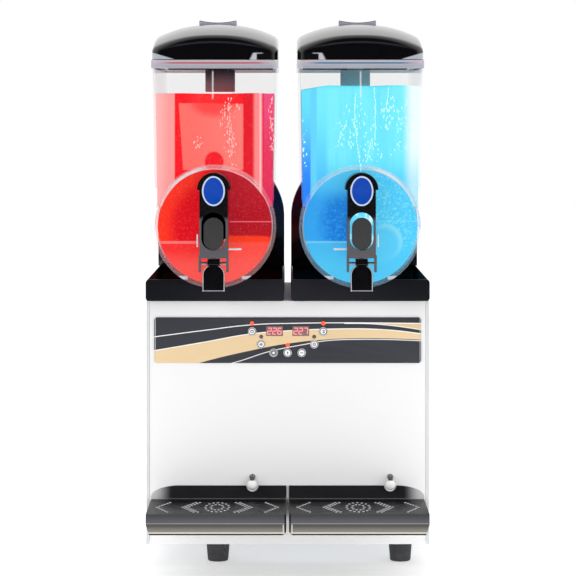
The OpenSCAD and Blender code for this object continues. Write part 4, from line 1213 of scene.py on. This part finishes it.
def make_tap_trim(side):
    """The barrel plate behind the window, painted with the drink seen through the barrel, and white strips
    that are painted highlights on the edges of the clear valve block.
    """
    cover_low, cover_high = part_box("tap_cover_" + side)
    mid_x = (cover_low.x + cover_high.x) / 2
    front = cover_low.y + 0.0042
    half, thick = 0.0172, 0.0008
    plate = block("barrel_plate_" + side, (mid_x - half, front, AXIS_Z - 0.0315),
                  (mid_x + half, front + thick, AXIS_Z + 0.0230))
    corners = plate.data.vertices
    pick(plate, "EDGE", lambda edge: abs(
        corners[edge.vertices[0]].co.y - corners[edge.vertices[1]].co.y) > thick / 2)
    bpy.ops.mesh.bevel(offset=half - 0.0002, segments=12)
    leave()
    smooth(plate)
    place(plate, "tank_" + side, BARREL_GLOWS[side])
    near, far = TANK_FACE - 0.006, TANK_FACE - 0.0008
    upright_x, upright_half = mid_x + SIDES[side] * 0.0254, 0.0012
    sill_ends = sorted(mid_x - SIDES[side] * reach for reach in (0.019, 0.040))
    upright = block("valve_edge_" + side, (upright_x - upright_half, near, AXIS_Z - 0.030),
                    (upright_x + upright_half, far, AXIS_Z - 0.011))
    sill = block("valve_sill_" + side, (sill_ends[0], near, AXIS_Z - 0.0345),
                 (sill_ends[1], far, AXIS_Z - 0.0315))
    for obj in (upright, sill):
        rounded(obj, 0.0008, 3)
        smooth(obj)
        place(obj, "tank_" + side, VALVE_EDGE_HIGHLIGHT)


for side in SIDES:
    make_tap_trim(side)


# ---- Wet on the tanks ----

def wet_finish(name, pale, deep):
    """Beads of water with painted light: they glow a little, pale in their middles as a painted highlight and
    deeper towards their rims as painted shade.
    """
    f = Finish(name)
    facing = f.node("ShaderNodeLayerWeight", {}, {"Blend": 0.4}, "Facing")
    cloud = f.noise(500, 2)
    # Painted highlight in the middle of each bead, painted shade at its rim.
    colour = f.blend(facing, pale, deep)
    return f.surface(
        Base_Color=colour, Emission_Color=colour, Emission_Strength=0.35,
        Roughness=0.05 + cloud * 0.08, Coat_Weight=0.6, Alpha=f.ramp(cloud, 0.3, 0.7, 0.6, 0.95))


WET = {
    "left": wet_finish("wet_red", shade(255, 186, 180), shade(236, 40, 52)),
    "right": wet_finish("wet_blue", shade(214, 252, 255), shade(40, 186, 224)),
}
# Where the beads lie, in millimetres from the bowl's middle: across, up, spread across, spread up, how many.
BEADED = {
    "left": [(20, 150, 7, 40, 60), (27, 112, 6, 22, 26), (12, 160, 8, 14, 16), (-24, 125, 7, 8, 18),
             (33, 176, 3, 6, 6), (84, 150, 4, 40, 34)],
    "right": [(-4, 150, 22, 34, 60), (40, 168, 14, 24, 40), (62, 150, 12, 40, 40), (-30, 140, 10, 22, 26),
              (-84, 120, 4, 40, 20), (20, 110, 16, 14, 22)],
}
# Trails of beads: across, top, foot, drift across on the way down.
TRAILS = {
    "left": [(20, 178, 140, 6), (28, 138, 112, -4), (86, 190, 172, -6), (84, 150, 128, 3)],
    "right": [(-7, 196, 150, -3), (-7, 148, 104, 4), (20, 204, 170, 2), (22, 168, 130, 0),
              (41, 204, 176, -3), (-26, 144, 120, -8), (-16, 140, 118, 2), (16, 128, 100, -6),
              (46, 160, 146, -7), (-3, 110, 84, 4)],
}


BEAD_DEPTH = 0.0006
TRAIL_STEP = 4.5
CLEAR_OF_DRUM = 0.091


def bead(x, z, wide, high):
    bpy.ops.mesh.primitive_uv_sphere_add(
        segments=8, ring_count=5, radius=1, location=(x, TANK_FACE - 0.0001, z))
    obj = bpy.context.object
    obj.scale = (wide, BEAD_DEPTH, high)
    return settle(obj, "bead")


def make_wet(side):
    """Beads strewn over the tank's front, and trails of beads that have run together."""
    mid_x = SIDES[side] * BAY
    half_face = 0.087
    rough = random.Random(11 if side == "left" else 23)
    beads = []
    for across, up, spread_x, spread_z, count in BEADED[side]:
        for i in range(count):
            x = mid_x + (across + rough.gauss(0, spread_x / 2)) * MM
            z = AXIS_Z + (up + rough.uniform(-spread_z, spread_z)) * MM
            size = rough.uniform(0.4, 1.3) * MM
            off_drum = (x - mid_x) ** 2 + (z - AXIS_Z) ** 2 > CLEAR_OF_DRUM ** 2
            if abs(x - mid_x) < half_face and z < DRINK[side]["level"] and off_drum:
                beads.append(bead(x, z, size, size * rough.uniform(1.0, 2.4)))
    for across, top, foot, drift in TRAILS[side]:
        steps = max(3, int((top - foot) / TRAIL_STEP))
        for i in range(steps):
            share = i / (steps - 1)
            x = mid_x + (across + drift * share + rough.uniform(-0.8, 0.8)) * MM
            z = AXIS_Z + (top + (foot - top) * share) * MM
            beads.append(bead(x, z, rough.uniform(0.6, 1.1) * MM, rough.uniform(2.2, 3.4) * MM))
    drops = join("wet_" + side, beads)
    smooth(drops, 80)
    place(drops, "tank_" + side, WET[side])


for side in SIDES:
    make_wet(side)


# ---- Digits of the displays ----

SEGMENTS = {"2": "abged", "6": "acdefg", "7": "abc"}


def make_digits(name, shown, low, high):
    """Three seven-bar figures that lean a little, in front of the window."""
    tall, wide, thick, pitch, lean = 0.0090, 0.0050, 0.0011, 0.0075, 0.12
    near, far = low.y - 0.00025, low.y - 0.00002
    mid = (low + high) / 2
    bars = []
    for place_i, figure in enumerate(shown):
        x0 = mid.x + (place_i - 1) * pitch
        spots = {
            "a": (0, tall / 2, wide, thick), "g": (0, 0, wide, thick), "d": (0, -tall / 2, wide, thick),
            "b": (wide / 2, tall / 4, thick, tall / 2), "c": (wide / 2, -tall / 4, thick, tall / 2),
            "e": (-wide / 2, -tall / 4, thick, tall / 2), "f": (-wide / 2, tall / 4, thick, tall / 2),
        }
        for key in SEGMENTS[figure]:
            dx, dz, w, h = spots[key]
            x, z = x0 + dx + dz * lean, mid.z + dz
            bars.append(block("bar", (x - w / 2, near, z - h / 2), (x + w / 2, far, z + h / 2)))
    digits = join(name, bars)
    rounded(digits, 0.0001, 1)
    place(digits, "cabinet", DIGIT_RED)


DIGIT_RED = glow("digit_red", shade(255, 120, 120), 0.9)
WINDOW_WIDTH = 0.0246
DISPLAY_LOW, DISPLAY_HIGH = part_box("displays")
NEAR_EDGES = Vector((DISPLAY_HIGH.x - WINDOW_WIDTH, DISPLAY_LOW.y, DISPLAY_LOW.z))
FAR_EDGES = Vector((DISPLAY_LOW.x + WINDOW_WIDTH, DISPLAY_HIGH.y, DISPLAY_HIGH.z))
make_digits("display_digits_left", "226", DISPLAY_LOW, FAR_EDGES)
make_digits("display_digits_right", "227", NEAR_EDGES, DISPLAY_HIGH)


# ---- Floor, light and the last lines ----

def add_floor():
    """A pale floor that ends a little in front of the machine, so that the blacks don't mirror it."""
    front_edge, depth, width = -0.8, 16.0, 30.0
    bpy.ops.mesh.primitive_plane_add(size=1, location=(0, front_edge + depth / 2, 0))
    floor = bpy.context.object
    floor.scale = (width, depth, 1)
    settle(floor, "floor")
    f = Finish("floor_pale")
    cloud = f.noise(2, 2)
    pale = f.blend(cloud, (0.93, 0.93, 0.93), (0.97, 0.97, 0.97))
    dress(floor, f.surface(
        Base_Color=pale, Emission_Color=pale, Emission_Strength=0.45, Roughness=0.7 + cloud * 0.1))


def add_world():
    """White all round, darker towards where the camera stands, so that gloss keeps its depth."""
    world = bpy.data.worlds.new("studio")
    bpy.context.scene.world = world
    world.use_nodes = True
    nodes, links = world.node_tree.nodes, world.node_tree.links
    nodes.clear()
    place_node = nodes.new("ShaderNodeTexCoord")
    split = nodes.new("ShaderNodeSeparateXYZ")
    ramp = nodes.new("ShaderNodeMapRange")
    ramp.interpolation_type = "SMOOTHSTEP"
    for socket, value in (("From Min", -0.85), ("From Max", -0.1), ("To Min", 0.02), ("To Max", 1.0)):
        ramp.inputs[socket].default_value = value
    seen = nodes.new("ShaderNodeLightPath")
    pick_level = nodes.new("ShaderNodeMath")
    pick_level.operation = "MAXIMUM"
    back = nodes.new("ShaderNodeBackground")
    back.inputs["Color"].default_value = (1, 1, 1, 1)
    out = nodes.new("ShaderNodeOutputWorld")
    links.new(place_node.outputs["Generated"], split.inputs[0])
    links.new(split.outputs["Y"], ramp.inputs["Value"])
    links.new(ramp.outputs[0], pick_level.inputs[0])
    links.new(seen.outputs["Is Camera Ray"], pick_level.inputs[1])
    links.new(pick_level.outputs[0], back.inputs["Strength"])
    links.new(back.outputs[0], out.inputs["Surface"])


def add_light(name, place_at, aim, size, power):
    data = bpy.data.lights.new(name, "AREA")
    data.shape = "RECTANGLE"
    data.size, data.size_y = size
    data.energy = power
    lamp = bpy.data.objects.new(name, data)
    bpy.context.scene.collection.objects.link(lamp)
    lamp.location = place_at
    lamp.visible_glossy = False
    lamp.rotation_euler = (Vector(aim) - Vector(place_at)).to_track_quat("-Z", "Y").to_euler()


add_floor()
add_world()
add_light("key", (-2.8, -2.8, 1.8), (0, 0, 0.4), (2.4, 2.8), 45)
add_light("fill", (2.8, -2.6, 1.2), (0, 0, 0.4), (2.0, 2.6), 37)
add_light("low", (0.1, -3.0, 0.3), (0, 0, 0.25), (2.8, 0.6), 36)

bpy.context.scene.view_settings.view_transform = "Standard"
